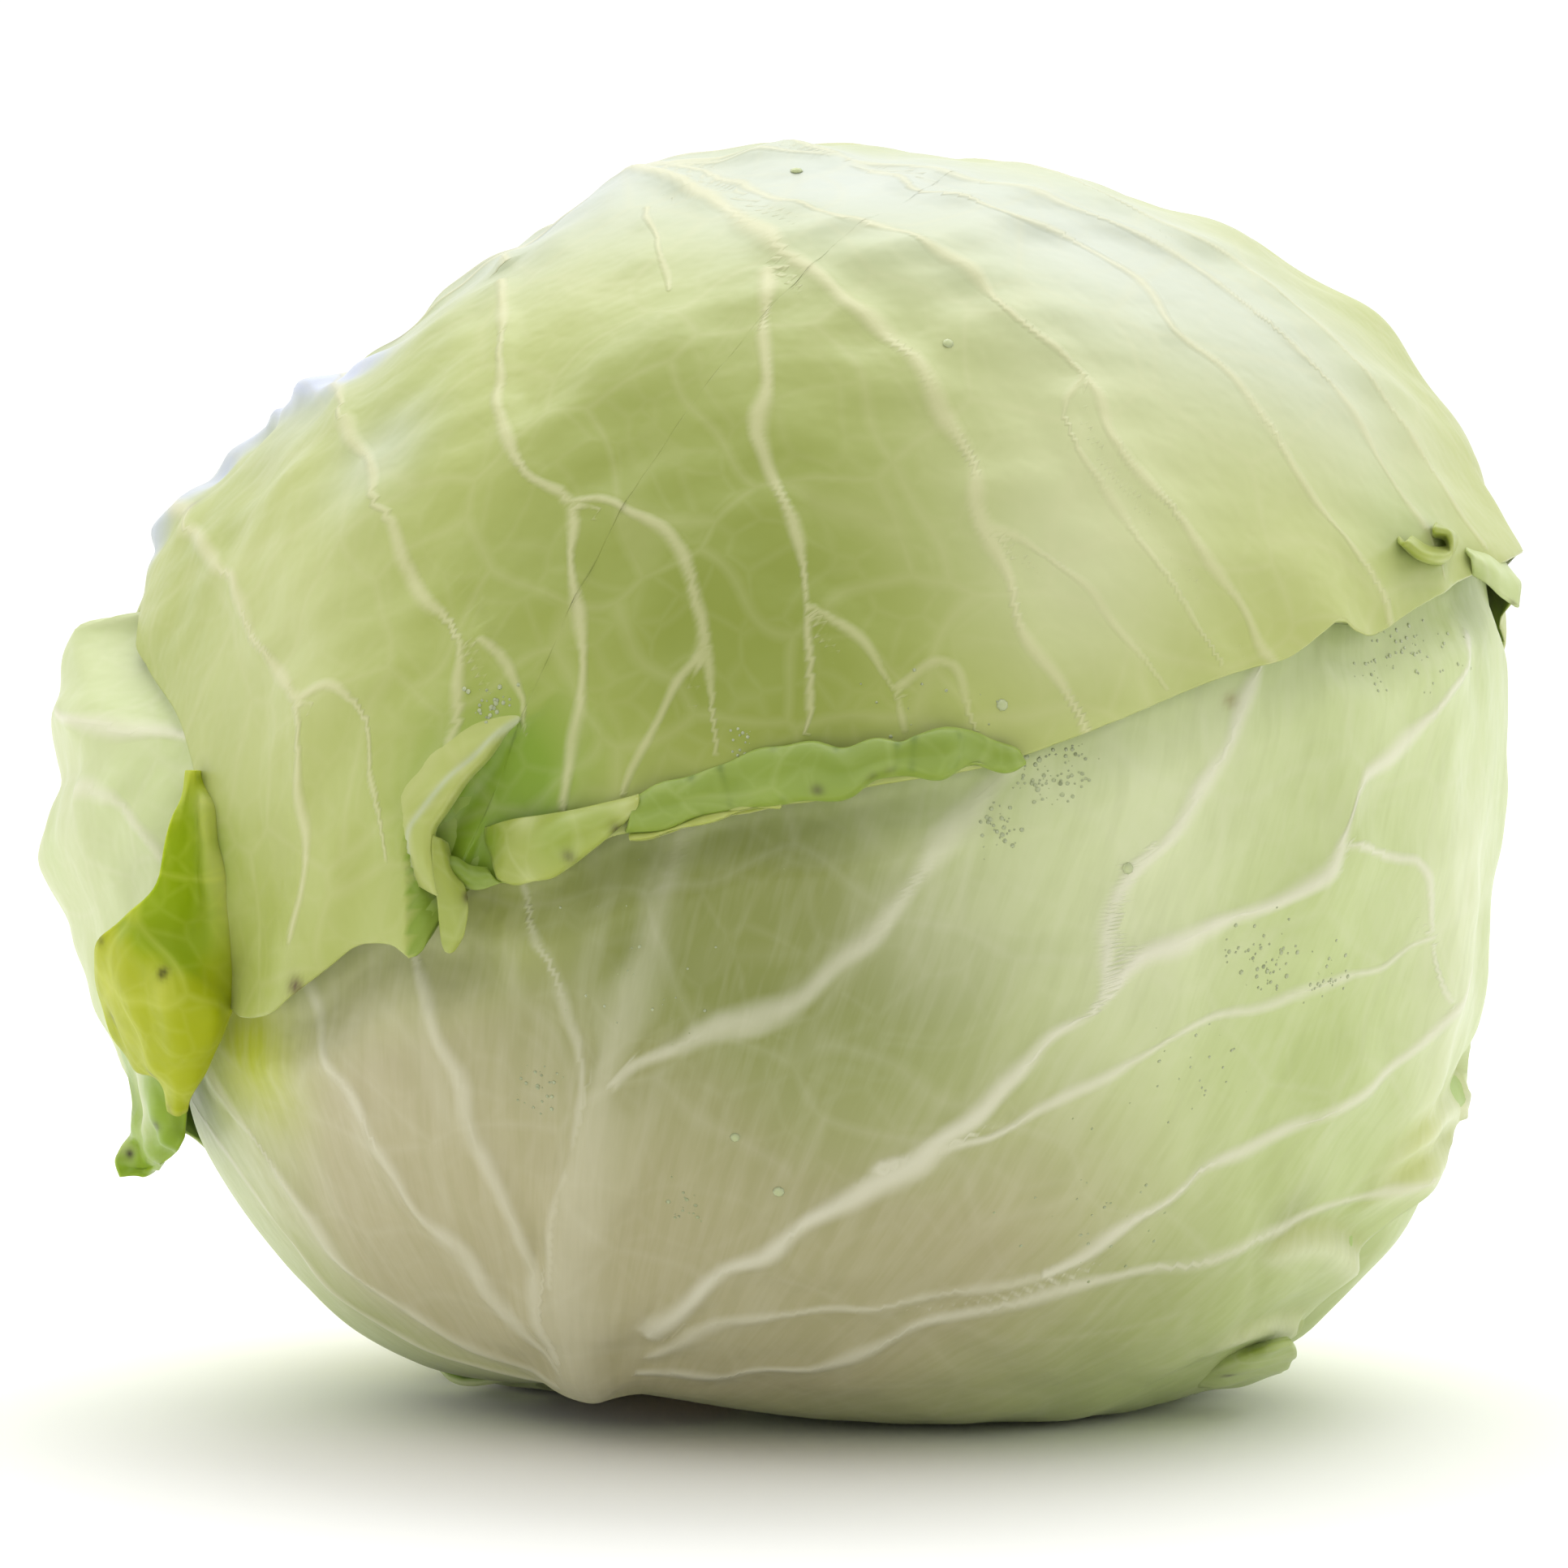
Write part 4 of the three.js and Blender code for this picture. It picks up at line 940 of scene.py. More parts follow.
# fold = top x bell of the distance to the path on the lower side of it, with a short
# dip on its upper side, painted dark green as shade, and a painted highlight along the fold.
def smallFolds(n, folds, fields):
    total = np.zeros(n.shape[:-1])
    for one in folds:
        tops = smoothLine(np.array(one["tops"])[:, None], 4)[:, 0]
        gap, side, top = nearPath(n, directionAt(smoothLine(one["path"], 4)), tops)
        lower = np.exp(-((gap / one["reach"]) ** 1.5))
        upper = 1 - ease(gap / 2.2) - 0.3 * np.exp(-(((gap - 3) / 2) ** 2))
        total += top * np.where(side < 0, lower, upper)
        # slit: painted shade in the crease on the fold's upper side, as dark and saturated green
        slit = np.where(side > 0, np.exp(-(((gap - 1.6) / 1.6) ** 2)), 0) * one["green"] * np.minimum(top, 1)
        fields["paintedGlowAndShadeGreen"] = np.clip(fields["paintedGlowAndShadeGreen"] + 0.25 * slit, 0, 1)
        fields["deep"] = np.clip(fields["deep"] + 0.5 * slit, 0, 1)
        # painted highlight along the fold's edge
        edge = np.exp(-((gap / 1.8) ** 2)) * 0.5 * np.minimum(top, 1)
        fields["paintedHighlight"] = np.clip(fields["paintedHighlight"] + edge, 0, 1)
    return total


def foldDistance(n):
    pleat = np.array(topLeaf["pleat"])
    return nearPath(n, directionAt(smoothLine(pleat[:, :2], 4)), smoothLine(pleat[:, 2:], 4)[:, 0])


for level, leaf in enumerate(leaves):
    outer, inner, fields, wrap = leafSurface(leaf, level)
    points, triangles, fields = closeSheet(outer, inner, fields, wrap)
    makePiece(leaf["piece"], points, triangles, fields, materials[leaf["name"]], [leaf["name"]])
    leaf["outside"] = outer.reshape(-1, 3)


# A flap of leaf: rows of (x, y, height off the head), in pixels and millimetres, with
# smooth curves through them both ways. Its two faces stand half its thickness to
# either side of that surface, along its normals.
def flapPiece(name, look, rows, steps=(8, 8), thickness=0.55, ruffle=0.25, seed=1, fields={}):
    table = np.array(rows, float)
    sheet = placeAt(table[..., :2], table[..., 2])
    sheet = smoothLine(np.swapaxes(smoothLine(sheet, steps[0]), 0, 1), steps[1]).swapaxes(0, 1)
    normal = np.cross(np.gradient(sheet, axis=0), np.gradient(sheet, axis=1))
    normal = unit(normal + 1e-9)
    if (normal * (sheet - middle)).sum() < 0:
        normal = -normal
    sheet = sheet + normal * (ruffle * waves(sheet, 7, seed))[..., None]
    half = thickness / 2
    made = {title: make(sheet) for title, make in fields.items()}
    points, triangles, carried = closeSheet(sheet + normal * half, sheet - normal * half, made, skip=1, bead=0.15)
    carried["inside"] = np.zeros(len(points))
    return makePiece(name, points, triangles, carried, materials[look])


# Patches of colour on a flap: bells of the distance from places given as
# (x, y, height, radius in millimetres, strength).
def patches(places):
    spots = [(placeAt([(x, y)], height)[0], reach, strength) for x, y, height, reach, strength in places]
    return lambda sheet: np.clip(sum(
        strength * np.exp(-((sheet - spot) ** 2).sum(-1) / reach ** 2) for spot, reach, strength in spots), 0, 1)


def specks(places):
    return patches([(*place, 0.7, 1.0) for place in places])


# The turned-up hem of the top leaf: its lower fold and its free upper edge, which is
# scalloped where creases cross it. Both run from right to left, in pixels.
hem = dict(
    lower=[(1262, 936), (1218, 945), (1168, 950), (1110, 962), (1077, 964), (1045, 975), (1005, 987), (955, 988),
           (914, 996), (880, 1003), (853, 1008), (814, 1024), (772, 1026)],
    upper=[(1250, 928), (1207, 906), (1160, 909), (1127, 909), (1106, 915), (1064, 915), (1030, 922), (991, 920),
           (953, 923), (927, 930), (888, 944), (850, 957), (784, 979)],
    creases=[(1127, 909, 1121, 960), (1106, 915, 1100, 950), (1030, 922, 1022, 960), (953, 924, 966, 985),
             (888, 945, 900, 990), (852, 957, 866, 1004), (1180, 909, 1176, 940)],
    lip=[(0.22, 0.2), (-0.03, 1.0), (0.03, 2.2), (0.22, 3.1), (0.5, 3.5), (0.8, 3.2), (1.0, 2.5), (0.97, 1.8)],
)


def hemRow(share, lift):
    lower, upper = (np.array(hem[key], float) for key in ("lower", "upper"))
    across = lower + (upper - lower) * share
    return [(x, y, lift * (0.15 + 0.85 * ease(k / 2.5))) for k, (x, y) in enumerate(across)]


# Thin dark lines of painted shade where creases cross the hem: bells of the distance to each.
def hemCreases(sheet):
    total = np.zeros(sheet.shape[:-1])
    for xTop, yTop, xLow, yLow in hem["creases"]:
        start, end = placeAt([(xTop, yTop), (xLow, yLow)], 2.5)
        along = end - start
        t = np.clip((sheet - start) @ along / (along @ along), 0, 1)
        gap = np.sqrt(((sheet - start - t[..., None] * along) ** 2).sum(-1))
        total = np.maximum(total, 0.8 * (1 - 0.5 * t) * np.exp(-((gap / 0.45) ** 2)))
    return total


flapPiece(
    "top_leaf_hem", "rolled_margin", [hemRow(*row) for row in hem["lip"]],
    steps=(8, 14), ruffle=0.3, seed=3,
    fields=dict(brown=specks([(1006, 975, 3.3), (1078, 961, 3.0), (1098, 955, 3.0)]), deep=hemCreases),
)
flapPiece(
    "top_leaf_hem_end", "pale_lobe",
    [
        [(965, 988, 0.4), (930, 990, 0.8), (890, 999, 1.0), (850, 1010, 1.0), (812, 1024, 1.0), (780, 1028, 0.6)],
        [(962, 992, 1.6), (925, 996, 2.2), (885, 1005, 2.4), (845, 1016, 2.4), (806, 1028, 2.2), (776, 1031, 1.6)],
        [(955, 994, 0.9), (918, 999, 1.2), (880, 1009, 1.4), (842, 1020, 1.4), (804, 1031, 1.2), (776, 1033, 0.8)],
    ],
    ruffle=0.15, seed=31,
)
flapPiece(
    "top_leaf_lobe", "pale_lobe",
    [
        [(788, 984, 2.2), (752, 990, 2.0), (708, 1000, 1.8), (676, 1004, 1.4), (640, 1010, 1.0), (598, 1020, -0.4)],
        [(787, 988, 3.4), (752, 999, 3.2), (710, 1012, 3.2), (674, 1022, 2.8), (640, 1028, 2.2), (596, 1036, 0.2)],
        [(783, 999, 3.6), (750, 1016, 3.8), (706, 1034, 4.0), (672, 1048, 3.8), (640, 1054, 3.0), (604, 1056, 0.8)],
        [(775, 1012, 3.0), (742, 1034, 3.2), (704, 1058, 3.6), (676, 1078, 3.6), (645, 1086, 3.0), (614, 1078, 1.6)],
        [(770, 1016, 1.8), (738, 1038, 1.8), (702, 1062, 1.8), (674, 1082, 1.6), (644, 1088, 1.4), (618, 1080, 0.2)],
        [(764, 1014, 0.6), (732, 1034, 0.6), (700, 1052, 0.6), (672, 1068, 0.6), (642, 1076, 0.4), (622, 1070, -0.4)],
    ],
    ruffle=0.2, seed=4,
    fields=dict(
        brown=specks([(760, 1021, 3.0), (701, 1052, 3.6)]),
        # painted glow and shade green on the lobe
        paintedGlowAndShadeGreen=patches([(690, 1030, 3.5, 3.5, 0.45), (605, 1040, 0, 2.5, 0.9), (740, 1008, 3.5, 2.5, 0.3)]),
        # painted highlights on the lobe's edges
        paintedHighlight=patches([(700, 1006, 2.8, 1.2, 0.5), (650, 1014, 1.5, 1.2, 0.5), (650, 1082, 3.3, 1.2, 0.4),
                       (770, 992, 3.2, 1.2, 0.5)]),
    ),
)

# The raised fold at the left, with a crisp free edge towards the right: rows lie
# further and further to the left of the edge, down to below the leaf's own surface.
fold = dict(
    edge=[(700, 822), (686, 846), (662, 874), (636, 890), (616, 907), (595, 935), (570, 962), (547, 997), (532, 1020),
          (530, 1044), (533, 1066), (537, 1086), (540, 1104)],
    rows=[(-4, -0.8), (-1, -0.05), (2, 0.35), (8, 0.42), (20, 0.25), (38, -0.05), (58, -0.4), (80, -1.2)],
    fade=[-0.9, -0.4, 0.1, 0.5, 0.8, 1, 1, 1, 1, 1, 0.9, 0.6, 0.2],
)


# height = that of the top leaf's outside at least 0.8 mm left of the edge + the row's
# own height, less where the fold fades out.
def foldRow(across, above):
    row = []
    for (x, y), fade in zip(fold["edge"], fold["fade"]):
        left = max(across, 8)
        n = directionAt([(x - left * (0.4 + 0.6 * max(0, fade)), y - 0.3 * left)])
        outside = topLeaf["outside"] - middle
        nearest = outside[(unit(outside) @ n[0]).argmax()]
        level = np.linalg.norm(nearest) - headRadius(n)[0]
        far = (x - across * (0.4 + 0.6 * max(0, fade)), y - 0.3 * across)
        row.append((*far, level + above * (0.4 + 0.6 * fade) - 0.9 * (1 - fade)))
    return row


flapPiece(
    "top_leaf_fold", "leaf_top", [foldRow(*row) for row in fold["rows"]],
    steps=(6, 8), thickness=0.5, ruffle=0.05, seed=41,
    # painted highlight along the fold's free edge
    fields=dict(paintedHighlight=lambda sheet: 0.25 * np.exp(-((foldDistance(unit(sheet - middle))[0] / 0.4) ** 2))),
)
flapPiece(
    "top_leaf_fold_tip", "pale_lobe",
    [
        [(532, 1030, 4.4), (541, 1034, 3.6), (548, 1040, 2.0)],
        [(534, 1070, 4.8), (547, 1068, 4.2), (556, 1066, 2.2)],
        [(540, 1108, 4.9), (556, 1100, 4.6), (572, 1092, 3.0)],
        [(542, 1135, 4.6), (560, 1128, 4.4), (576, 1118, 3.4)],
        [(545, 1158, 4.0), (558, 1158, 4.0), (572, 1145, 3.4)],
        [(550, 1171, 3.4), (556, 1172, 3.4), (563, 1163, 3.2)],
    ],
    ruffle=0.1, seed=5, fields=dict(brown=specks([(573, 1106, 3.0)])),
)
flapPiece(
    "top_leaf_small_fold", "rolled_margin",
    [
        [(545, 1056, 2.8), (560, 1056, 2.4), (577, 1068, 1.8), (600, 1072, 1.0)],
        [(550, 1066, 3.2), (566, 1072, 3.0), (582, 1082, 2.6), (606, 1080, 1.8)],
        [(557, 1078, 2.4), (570, 1088, 2.2), (590, 1094, 2.0), (617, 1086, 1.2)],
    ],
    ruffle=0.1, seed=6,
)
flapPiece(
    "top_leaf_ear", "thin_ear",
    [
        [(230, 950, 0.9), (233, 950, 1.2), (237, 950, 1.1), (242, 950, 0.6), (248, 950, -1.0), (254, 950, -2.0)],
        [(221, 985, 2.6), (227, 986, 2.3), (234, 988, 1.6), (242, 990, 0.9), (252, 992, 0.5), (266, 994, -1.2)],
        [(207, 1026, 4.6), (218, 1028, 3.6), (231, 1032, 2.3), (244, 1038, 1.2), (256, 1042, 0.8), (274, 1044, -1.1)],
        [(194, 1088, 6.2), (210, 1090, 4.8), (228, 1094, 3.0), (244, 1100, 1.4), (260, 1104, 0.9), (282, 1106, -1.0)],
        [(160, 1124, 8.5), (184, 1130, 6.9), (210, 1138, 4.8), (238, 1148, 2.4), (264, 1156, 1.1), (288, 1158, -0.9)],
        [(127, 1154, 9.6), (162, 1160, 9.0), (196, 1176, 7.6), (232, 1192, 5.2), (266, 1206, 2.4), (290, 1206, -0.8)],
        [(121, 1184, 9.3), (158, 1194, 9.4), (196, 1206, 8.6), (234, 1218, 6.6), (268, 1230, 3.6), (288, 1238, 0.2)],
        [(123, 1228, 8.6), (160, 1232, 9.4), (198, 1240, 9.0), (236, 1246, 7.0), (266, 1252, 4.6), (280, 1260, 1.2)],
        [(140, 1278, 7.4), (170, 1274, 8.4), (204, 1276, 8.2), (236, 1280, 6.6), (258, 1286, 4.6), (266, 1292, 2.4)],
        [(168, 1314, 6.4), (188, 1308, 7.4), (210, 1310, 7.2), (232, 1314, 6.0), (246, 1318, 4.6), (252, 1322, 3.2)],
        [(198, 1330, 5.8), (206, 1332, 6.2), (216, 1336, 6.2), (228, 1340, 5.4), (236, 1344, 4.6), (239, 1346, 4.0)],
        [(212, 1366, 5.0), (215, 1368, 5.2), (219, 1370, 5.2), (222, 1368, 5.0), (226, 1366, 4.6), (228, 1364, 4.4)],
    ],
    steps=(6, 8), thickness=0.45, ruffle=0.22, seed=7,
    fields=dict(
        brown=specks([(130, 1157, 9.3), (138, 1254, 8.0), (190, 1322, 6.6), (202, 1200, 8.2), (217, 1364, 5.0)]),
        # painted shade as dark green down the crease at the ear's top and along the line where it folds over
        deep=patches([(240, 985, 1, 3, 0.8), (232, 1040, 2, 4, 1), (222, 1090, 4, 4.5, 1), (205, 1130, 6, 4.5, 0.9),
                      (235, 1150, 3, 4, 1), (240, 1185, 5, 1.8, 1), (215, 1170, 7, 1.8, 1), (180, 1152, 8, 1.8, 0.9),
                      (150, 1142, 9, 1.6, 0.8)]),
        # painted glow green along the ear's right edge, where it meets the leaf
        paintedGlowAndShadeGreen=patches([(256, 985, 0, 1.8, 1), (266, 1015, 0, 2.0, 1), (272, 1050, 0, 2.2, 1), (280, 1085, 0, 2.4, 1),
                       (284, 1120, 0, 2.6, 1), (290, 1160, 0, 2.4, 0.8), (292, 1200, 0, 2, 0.4)]),
        # painted highlights on the hanging part of the ear
        paintedHighlight=patches([(135, 1215, 9, 2.5, 0.5), (200, 1222, 9, 2.0, 0.5), (160, 1280, 8, 2.5, 0.3)]),
    ),
)
flapPiece(
    "left_leaf_tip", "left_tip",
    [
        [(152, 1290, 3.0), (170, 1292, 3.4), (196, 1296, 3.2), (222, 1300, 1.6)],
        [(164, 1330, 4.2), (180, 1332, 4.6), (200, 1340, 4.2), (228, 1345, 2.4)],
        [(171, 1372, 5.0), (186, 1376, 5.6), (206, 1380, 5.0), (228, 1388, 3.4)],
        [(150, 1412, 5.6), (172, 1412, 6.4), (196, 1412, 6.0), (222, 1412, 4.6)],
        [(143, 1430, 5.6), (164, 1434, 6.2), (186, 1434, 6.0), (206, 1430, 5.0)],
        [(148, 1449, 5.2), (160, 1448, 5.4), (176, 1446, 5.4), (190, 1442, 5.0)],
    ],
    ruffle=0.3, seed=8,
    fields=dict(
        brown=specks([(162, 1420, 6.0), (198, 1385, 5.4)]),
        pale=patches([(170, 1330, 4.5, 4.5, 0.95), (176, 1375, 5.5, 3, 0.6), (155, 1415, 6, 2, 0.5)]),
        deep=patches([(205, 1410, 5.5, 4, 0.3)]),
    ),
)
flapPiece(
    "top_leaf_corner", "margin_lobe",
    [
        [(1800, 640, 0.2), (1830, 668, 0.6), (1848, 700, 1.0)],
        [(1806, 662, 1.4), (1842, 684, 2.2), (1862, 706, 2.4)],
        [(1812, 684, 2.4), (1846, 704, 3.8), (1872, 722, 4.4)],
        [(1816, 706, 1.6), (1844, 728, 3.4), (1868, 748, 4.2)],
    ],
    ruffle=0.2, seed=9, fields=dict(brown=specks([(1864, 748, 4.2)])),
)
flapPiece(
    "top_leaf_curl", "pale_lobe",
    [
        [(1722, 662, 0.2), (1726, 668, 1.6), (1732, 668, 2.8), (1738, 662, 1.2)],
        [(1748, 680, 0.2), (1750, 688, 2.0), (1756, 684, 3.4), (1758, 674, 1.6)],
        [(1778, 684, 0.2), (1780, 692, 2.0), (1786, 684, 3.6), (1782, 674, 2.4)],
        [(1786, 664, 0.6), (1794, 662, 2.2), (1786, 658, 3.6), (1780, 664, 2.4)],
        [(1768, 654, 0.4), (1768, 646, 2.0), (1766, 652, 3.0), (1766, 660, 1.6)],
    ],
    ruffle=0.05, seed=10,
)


# The small flap that hangs off the front leaf at the lower right.
flapPiece(
    "front_leaf_small_flap", "margin_lobe",
    [
        [(1478, 1690, -1.6), (1524, 1664, -0.6), (1562, 1652, 0.6), (1586, 1648, 1.6)],
        [(1476, 1698, -1.2), (1524, 1675, 0.5), (1562, 1661, 1.9), (1592, 1654, 2.6)],
        [(1474, 1704, -1.0), (1522, 1688, 0.8), (1560, 1674, 2.2), (1596, 1664, 2.8)],
        [(1472, 1710, -1.2), (1518, 1700, 0.5), (1556, 1688, 1.7), (1588, 1678, 2.3)],
        [(1470, 1714, -2.0), (1514, 1706, -0.8), (1550, 1698, 0.4), (1578, 1690, 1.2)],
    ],
    steps=(7, 7), ruffle=0.2, seed=14,
    fields=dict(brown=specks([(1514, 1694, 0.6)]), deep=patches([(1548, 1664, 1.4, 1.6, 1.0), (1528, 1672, 0.8, 1.4, 0.7)])),
)


# Dew: small flat domes of water in clusters, on the outside of the leaf below them.
# Each dome is height x sqrt(1 - (r / radius)^2) over the leaf's own tangent plane.
dew = dict(
    # leaf, x, y, spread in pixels, number of drops, largest radius in millimetres
    clusters=[
        (topLeaf, 605, 868, 22, 34, 0.42), (frontLeaf, 1295, 962, 34, 60, 0.4), (frontLeaf, 1232, 1022, 26, 34, 0.38),
        (frontLeaf, 1330, 935, 22, 26, 0.34), (frontLeaf, 1560, 1190, 40, 60, 0.4), (frontLeaf, 1640, 1205, 26, 26, 0.36),
        (frontLeaf, 1750, 800, 34, 44, 0.45), (frontLeaf, 1700, 830, 26, 20, 0.35), (frontLeaf, 660, 1340, 26, 26, 0.34),
        (frontLeaf, 840, 1490, 22, 16, 0.4), (topLeaf, 915, 918, 16, 16, 0.32), (frontLeaf, 1480, 1300, 60, 24, 0.3),
        (topLeaf, 1150, 880, 90, 16, 0.3), (frontLeaf, 1350, 1500, 80, 30, 0.3), (frontLeaf, 800, 1200, 90, 26, 0.3),
    ],
    large=[(topLeaf, 985, 208, 0.8), (topLeaf, 1170, 425, 0.7), (frontLeaf, 960, 1470, 0.7), (frontLeaf, 905, 1405, 0.6),
           (topLeaf, 1236, 868, 0.7), (frontLeaf, 1388, 1072, 0.7)],
    sides=8, steepness=0.42, seed=77,
)


def dewPiece():
    draw = np.random.default_rng(dew["seed"])
    drops = [(leaf, x, y, size) for leaf, x, y, size in dew["large"]]
    for leaf, x, y, reach, count, largest in dew["clusters"]:
        offset = draw.normal(size=(count, 2)) * reach * 0.6
        sizes = 0.8 * largest * draw.uniform(0.35, 1.0, count) ** 1.5
        drops += [(leaf, x + dx, y + dy, size) for (dx, dy), size in zip(offset, sizes)]
    turn = np.arange(dew["sides"]) * 2 * np.pi / dew["sides"]
    rings = [(1.0, -0.12), (0.98, 0.15), (0.72, 0.72), (0.38, 0.94)]
    points, triangles = [], []
    for leaf, x, y, size in drops:
        n = directionAt([(x, y)])[0]
        outside = leaf["outside"]
        along = (outside - middle) @ n
        gap = ((outside - middle - along[:, None] * n) ** 2).sum(1) + (along < 0) * 1e6
        close = np.argsort(gap)[:6]
        shell = outside[close]
        centre = shell[:3].mean(0)
        side = unit(np.cross(n, shell[1] - shell[0] + 1e-6))
        over = np.cross(n, side)
        start = sum(len(part) for part in points)
        flat = size * (np.cos(turn)[:, None] * side + np.sin(turn)[:, None] * over)
        for share, high in rings:
            points.append(centre + flat * share + n * size * dew["steepness"] * high)
        points.append((centre + n * size * dew["steepness"])[None])
        points.append((centre - n * size * dew["steepness"] * 0.12)[None])
        count = dew["sides"]
        here, ahead = np.arange(count), (np.arange(count) + 1) % count
        for ring in range(len(rings) - 1):
            low, high = start + ring * count, start + (ring + 1) * count
            triangles.append(np.stack([low + here, low + ahead, high + ahead], 1))
            triangles.append(np.stack([low + here, high + ahead, high + here], 1))
        top = start + len(rings) * count
        triangles.append(np.stack([top - count + here, top - count + ahead, np.full(count, top)], 1))
        triangles.append(np.stack([start + ahead, start + here, np.full(count, top + 1)], 1))
    # Dew: small smooth beads that take the leaf's colour and show by their highlights.
    material, tree = newMaterial("dew_on_leaf")
    place = addNode(tree, "ShaderNodeTexCoord").outputs["Object"]
    grain = addNode(tree, "ShaderNodeTexNoise", {"Scale": 60.0}, {"Vector": place})
    tint = addNode(tree, "ShaderNodeValToRGB", links={"Fac": grain.outputs["Fac"]})
    tint.color_ramp.elements[0].color, tint.color_ramp.elements[1].color = colour("#a9b678"), colour("#ccd4a8")
    shader = addNode(
        tree, "ShaderNodeBsdfPrincipled",
        {"IOR": 1.333, "Roughness": 0.06, "Subsurface Weight": 0.5, "Subsurface Scale": 1.5 * metre,
         "Subsurface Radius": (1.0, 1.0, 0.8)},
        {"Base Color": tint.outputs[0]},
    )
    addNode(tree, "ShaderNodeOutputMaterial", links={"Surface": shader.outputs[0]})
    points, triangles = np.concatenate(points), np.concatenate(triangles)
    makePiece("dew_drops", points, triangles, {}, material)


dewPiece()


# The cut stalk: a stub with a rough rim and a slightly hollow, dry face. Its surface is
# a profile of (radius, depth) turned round the stalk's line; shallow grooves run along it.
stalk = dict(face=73.4, length=7.0, radius=12.0, grooves=9, grid=(96, 40))


def stalkPiece():
    columns, rows = stalk["grid"]
    turn = np.arange(columns)[:, None] / columns * 2 * np.pi
    along = np.arange(1, rows + 1)[None] / rows
    turn, along = np.broadcast_arrays(turn, along)
    radius = stalk["radius"]
    profile = [[0, 0], [0.35, 0.55 * radius], [0.55, 0.9 * radius], [0.62, radius], [0.85, radius], [1, 0.96 * radius]]
    out = curve(profile, along)
    deep = curve([[0, 0.9], [0.35, 0.5], [0.55, 0.2], [0.62, 0.8], [0.85, 4.5], [1, 7.0]], along)
    wobble = 0.35 * np.sin(stalk["grooves"] * turn) + 0.25 * np.sin(4 * turn + 1)
    out = out + wobble * ease(along * 2)
    axis, zero, quarter = stalkChart
    sideways = zero * np.cos(turn)[..., None] + quarter * np.sin(turn)[..., None]
    outer = middle + axis * (stalk["face"] - deep)[..., None] + sideways * out[..., None]
    outer = outer + axis * (0.18 * waves(outer, 3, 90))[..., None]
    inner = middle + axis * (stalk["face"] - stalk["length"] - 0.2) + sideways * (out * 0.96)[..., None]
    points, triangles, fields = closeSheet(outer, inner, dict(rim=ease((along - 0.4) * 4)), wrap=True, bead=0.1)
    material, tree = newMaterial("dry_cut_stalk")
    place = addNode(tree, "ShaderNodeTexCoord").outputs["Object"]
    noise = addNode(tree, "ShaderNodeTexNoise", {"Scale": 260.0, "Detail": 5.0}, {"Vector": place})
    rings = addNode(tree, "ShaderNodeTexVoronoi", {"Scale": 700.0}, {"Vector": place}, feature="DISTANCE_TO_EDGE")
    ramp = addNode(tree, "ShaderNodeValToRGB", links={"Fac": noise.outputs["Fac"]})
    ramp.color_ramp.elements[0].position, ramp.color_ramp.elements[1].position = 0.3, 0.7
    ramp.color_ramp.elements[0].color, ramp.color_ramp.elements[1].color = colour("#8d6f45"), colour("#cbb98a")
    share = addNode(tree, "ShaderNodeAttribute", attribute_name="rim").outputs["Fac"]
    browned = addNode(tree, "ShaderNodeMix", data_type="RGBA")
    tree.links.new(share, browned.inputs[0])
    tree.links.new(ramp.outputs[0], browned.inputs[6])
    browned.inputs[7].default_value = colour("#6b4d2a")
    bump = addNode(
        tree, "ShaderNodeBump", {"Strength": 0.5, "Distance": 0.4 * metre}, {"Height": rings.outputs["Distance"]},
    )
    shader = addNode(
        tree, "ShaderNodeBsdfPrincipled", {"Roughness": 0.8},
        {"Base Color": browned.outputs[2], "Normal": bump.outputs[0]},
    )
    addNode(tree, "ShaderNodeOutputMaterial", links={"Surface": shader.outputs[0]})
    makePiece("cut_stalk", points, triangles, fields, material, ["stalk"])


stalkPiece()

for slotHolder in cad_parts["inner_head"].material_slots:
    slotHolder.material = materials["inner_head"]


# The floor: pale and plain, running far past the picture on all sides.
floor = dict(reach=6.0, colour="#fbfbf9")
floorMesh = bpy.data.meshes.new("floor")
far = floor["reach"]
floorMesh.from_pydata([(-far, -far, 0), (far, -far, 0), (far, far, 0), (-far, far, 0)], [], [(0, 1, 2, 3)])
floorPiece = bpy.data.objects.new("floor", floorMesh)
bpy.context.scene.collection.objects.link(floorPiece)
floorMaterial, floorTree = newMaterial("matt_white_floor")
grain = addNode(floorTree, "ShaderNodeTexNoise", {"Scale": 40.0, "Detail": 2.0})
floorRough = addNode(floorTree, "ShaderNodeMapRange", {3: 0.75, 4: 0.85}, {0: grain.outputs["Fac"]}).outputs[0]
floorShader = addNode(
    floorTree, "ShaderNodeBsdfPrincipled", {"Base Color": colour(floor["colour"])}, {"Roughness": floorRough},
)
addNode(floorTree, "ShaderNodeOutputMaterial", links={"Surface": floorShader.outputs[0]})
floorMesh.materials.append(floorMaterial)

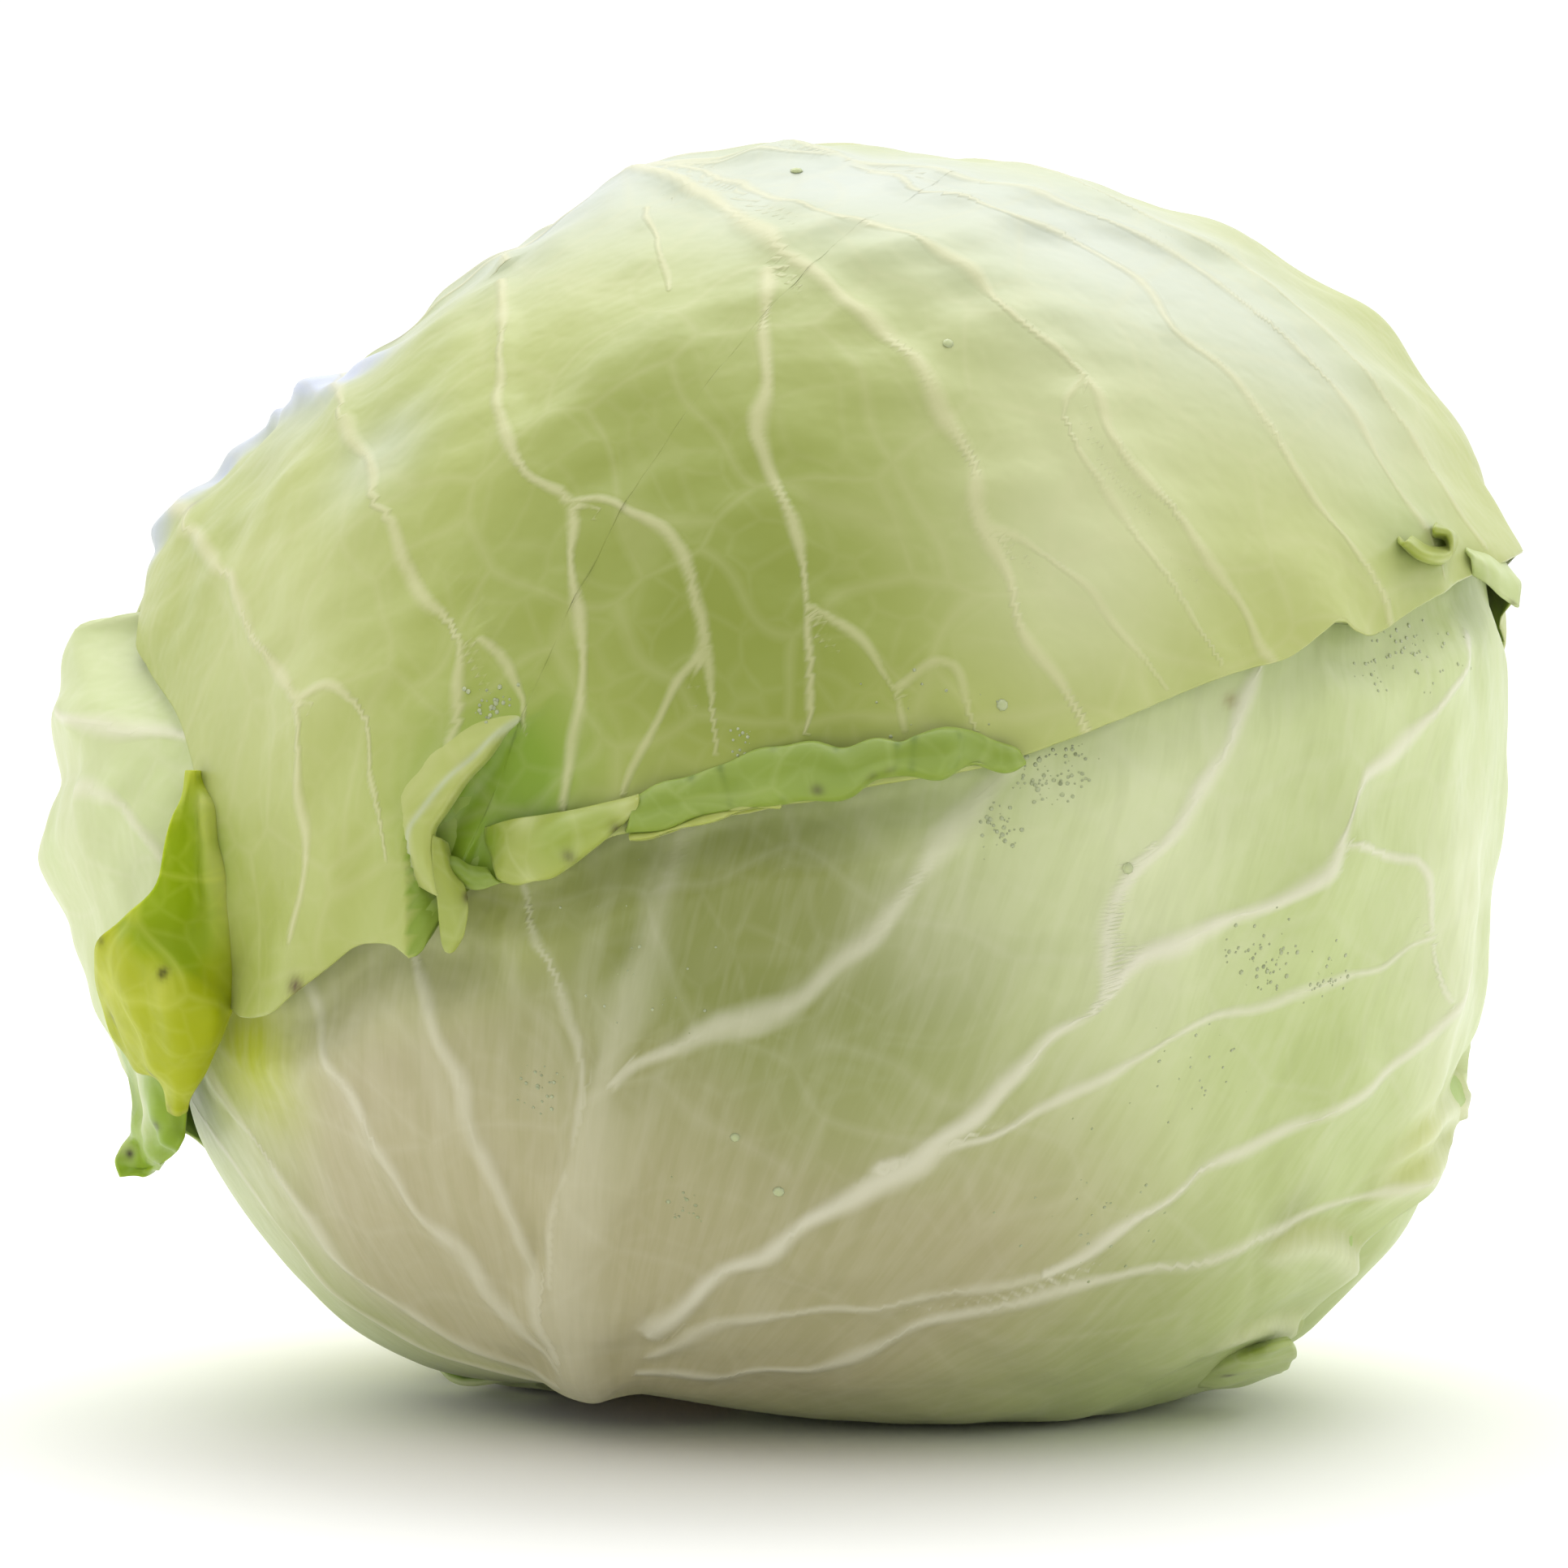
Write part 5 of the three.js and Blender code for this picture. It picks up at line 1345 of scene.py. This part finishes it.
# Soft studio light: a white surround, brightest overhead and dimmer behind the camera,
# and one wide panel above and a little behind the head.
lights = dict(
    back=1.08, front=0.41, overhead=0.49,
    panels=[dict(name="panel_above", place=(0.1, 0.5, 1.2), size=(1.4, 1.0), power=6.0)],
)
world = bpy.data.worlds.new("white_surround")
world.use_nodes = True
worldTree = world.node_tree
worldTree.nodes.clear()
way = addNode(
    worldTree, "ShaderNodeSeparateXYZ", links={0: addNode(worldTree, "ShaderNodeTexCoord").outputs["Generated"]},
)
level = addNode(
    worldTree, "ShaderNodeMapRange", {1: -0.85, 2: 0.15, 3: lights["front"], 4: lights["back"]}, {0: way.outputs[1]},
    interpolation_type="SMOOTHSTEP",
)
above = addNode(worldTree, "ShaderNodeMapRange", {1: 0.1, 2: 1.0, 3: 0.0, 4: lights["overhead"]}, {0: way.outputs[2]})
total = addNode(worldTree, "ShaderNodeMath", links={0: level.outputs[0], 1: above.outputs[0]}, operation="ADD")
surround = addNode(worldTree, "ShaderNodeBackground", {"Color": (1, 1, 1, 1)}, {"Strength": total.outputs[0]})
addNode(worldTree, "ShaderNodeOutputWorld", links={"Surface": surround.outputs[0]})
bpy.context.scene.world = world


def turnTowards(thing, place, target):
    back = unit(np.array(place, float) - np.array(target, float))
    side = unit(np.cross([0.0, 0.0, 1.0], back))
    over = np.cross(back, side)
    rows = [[side[k], over[k], back[k], place[k]] for k in range(3)] + [[0, 0, 0, 1]]
    thing.matrix_world = Matrix(rows)


for panel in lights["panels"]:
    lamp = bpy.data.lights.new(panel["name"], "AREA")
    lamp.shape = "RECTANGLE"
    lamp.size, lamp.size_y = panel["size"]
    lamp.energy = panel["power"]
    holder = bpy.data.objects.new(panel["name"], lamp)
    bpy.context.scene.collection.objects.link(holder)
    turnTowards(holder, panel["place"], middle * metre)

camera = bpy.data.cameras.new("camera")
camera.sensor_width = view["sensor"]
camera.lens = view["sensor"] * view["distance"] / (view["size"] * pixel)
camera.clip_end = 20
cameraHolder = bpy.data.objects.new("camera", camera)
bpy.context.scene.collection.objects.link(cameraHolder)
turnTowards(cameraHolder, eye * metre, aim * metre)
bpy.context.scene.camera = cameraHolder
bpy.context.scene.view_settings.view_transform = "Standard"
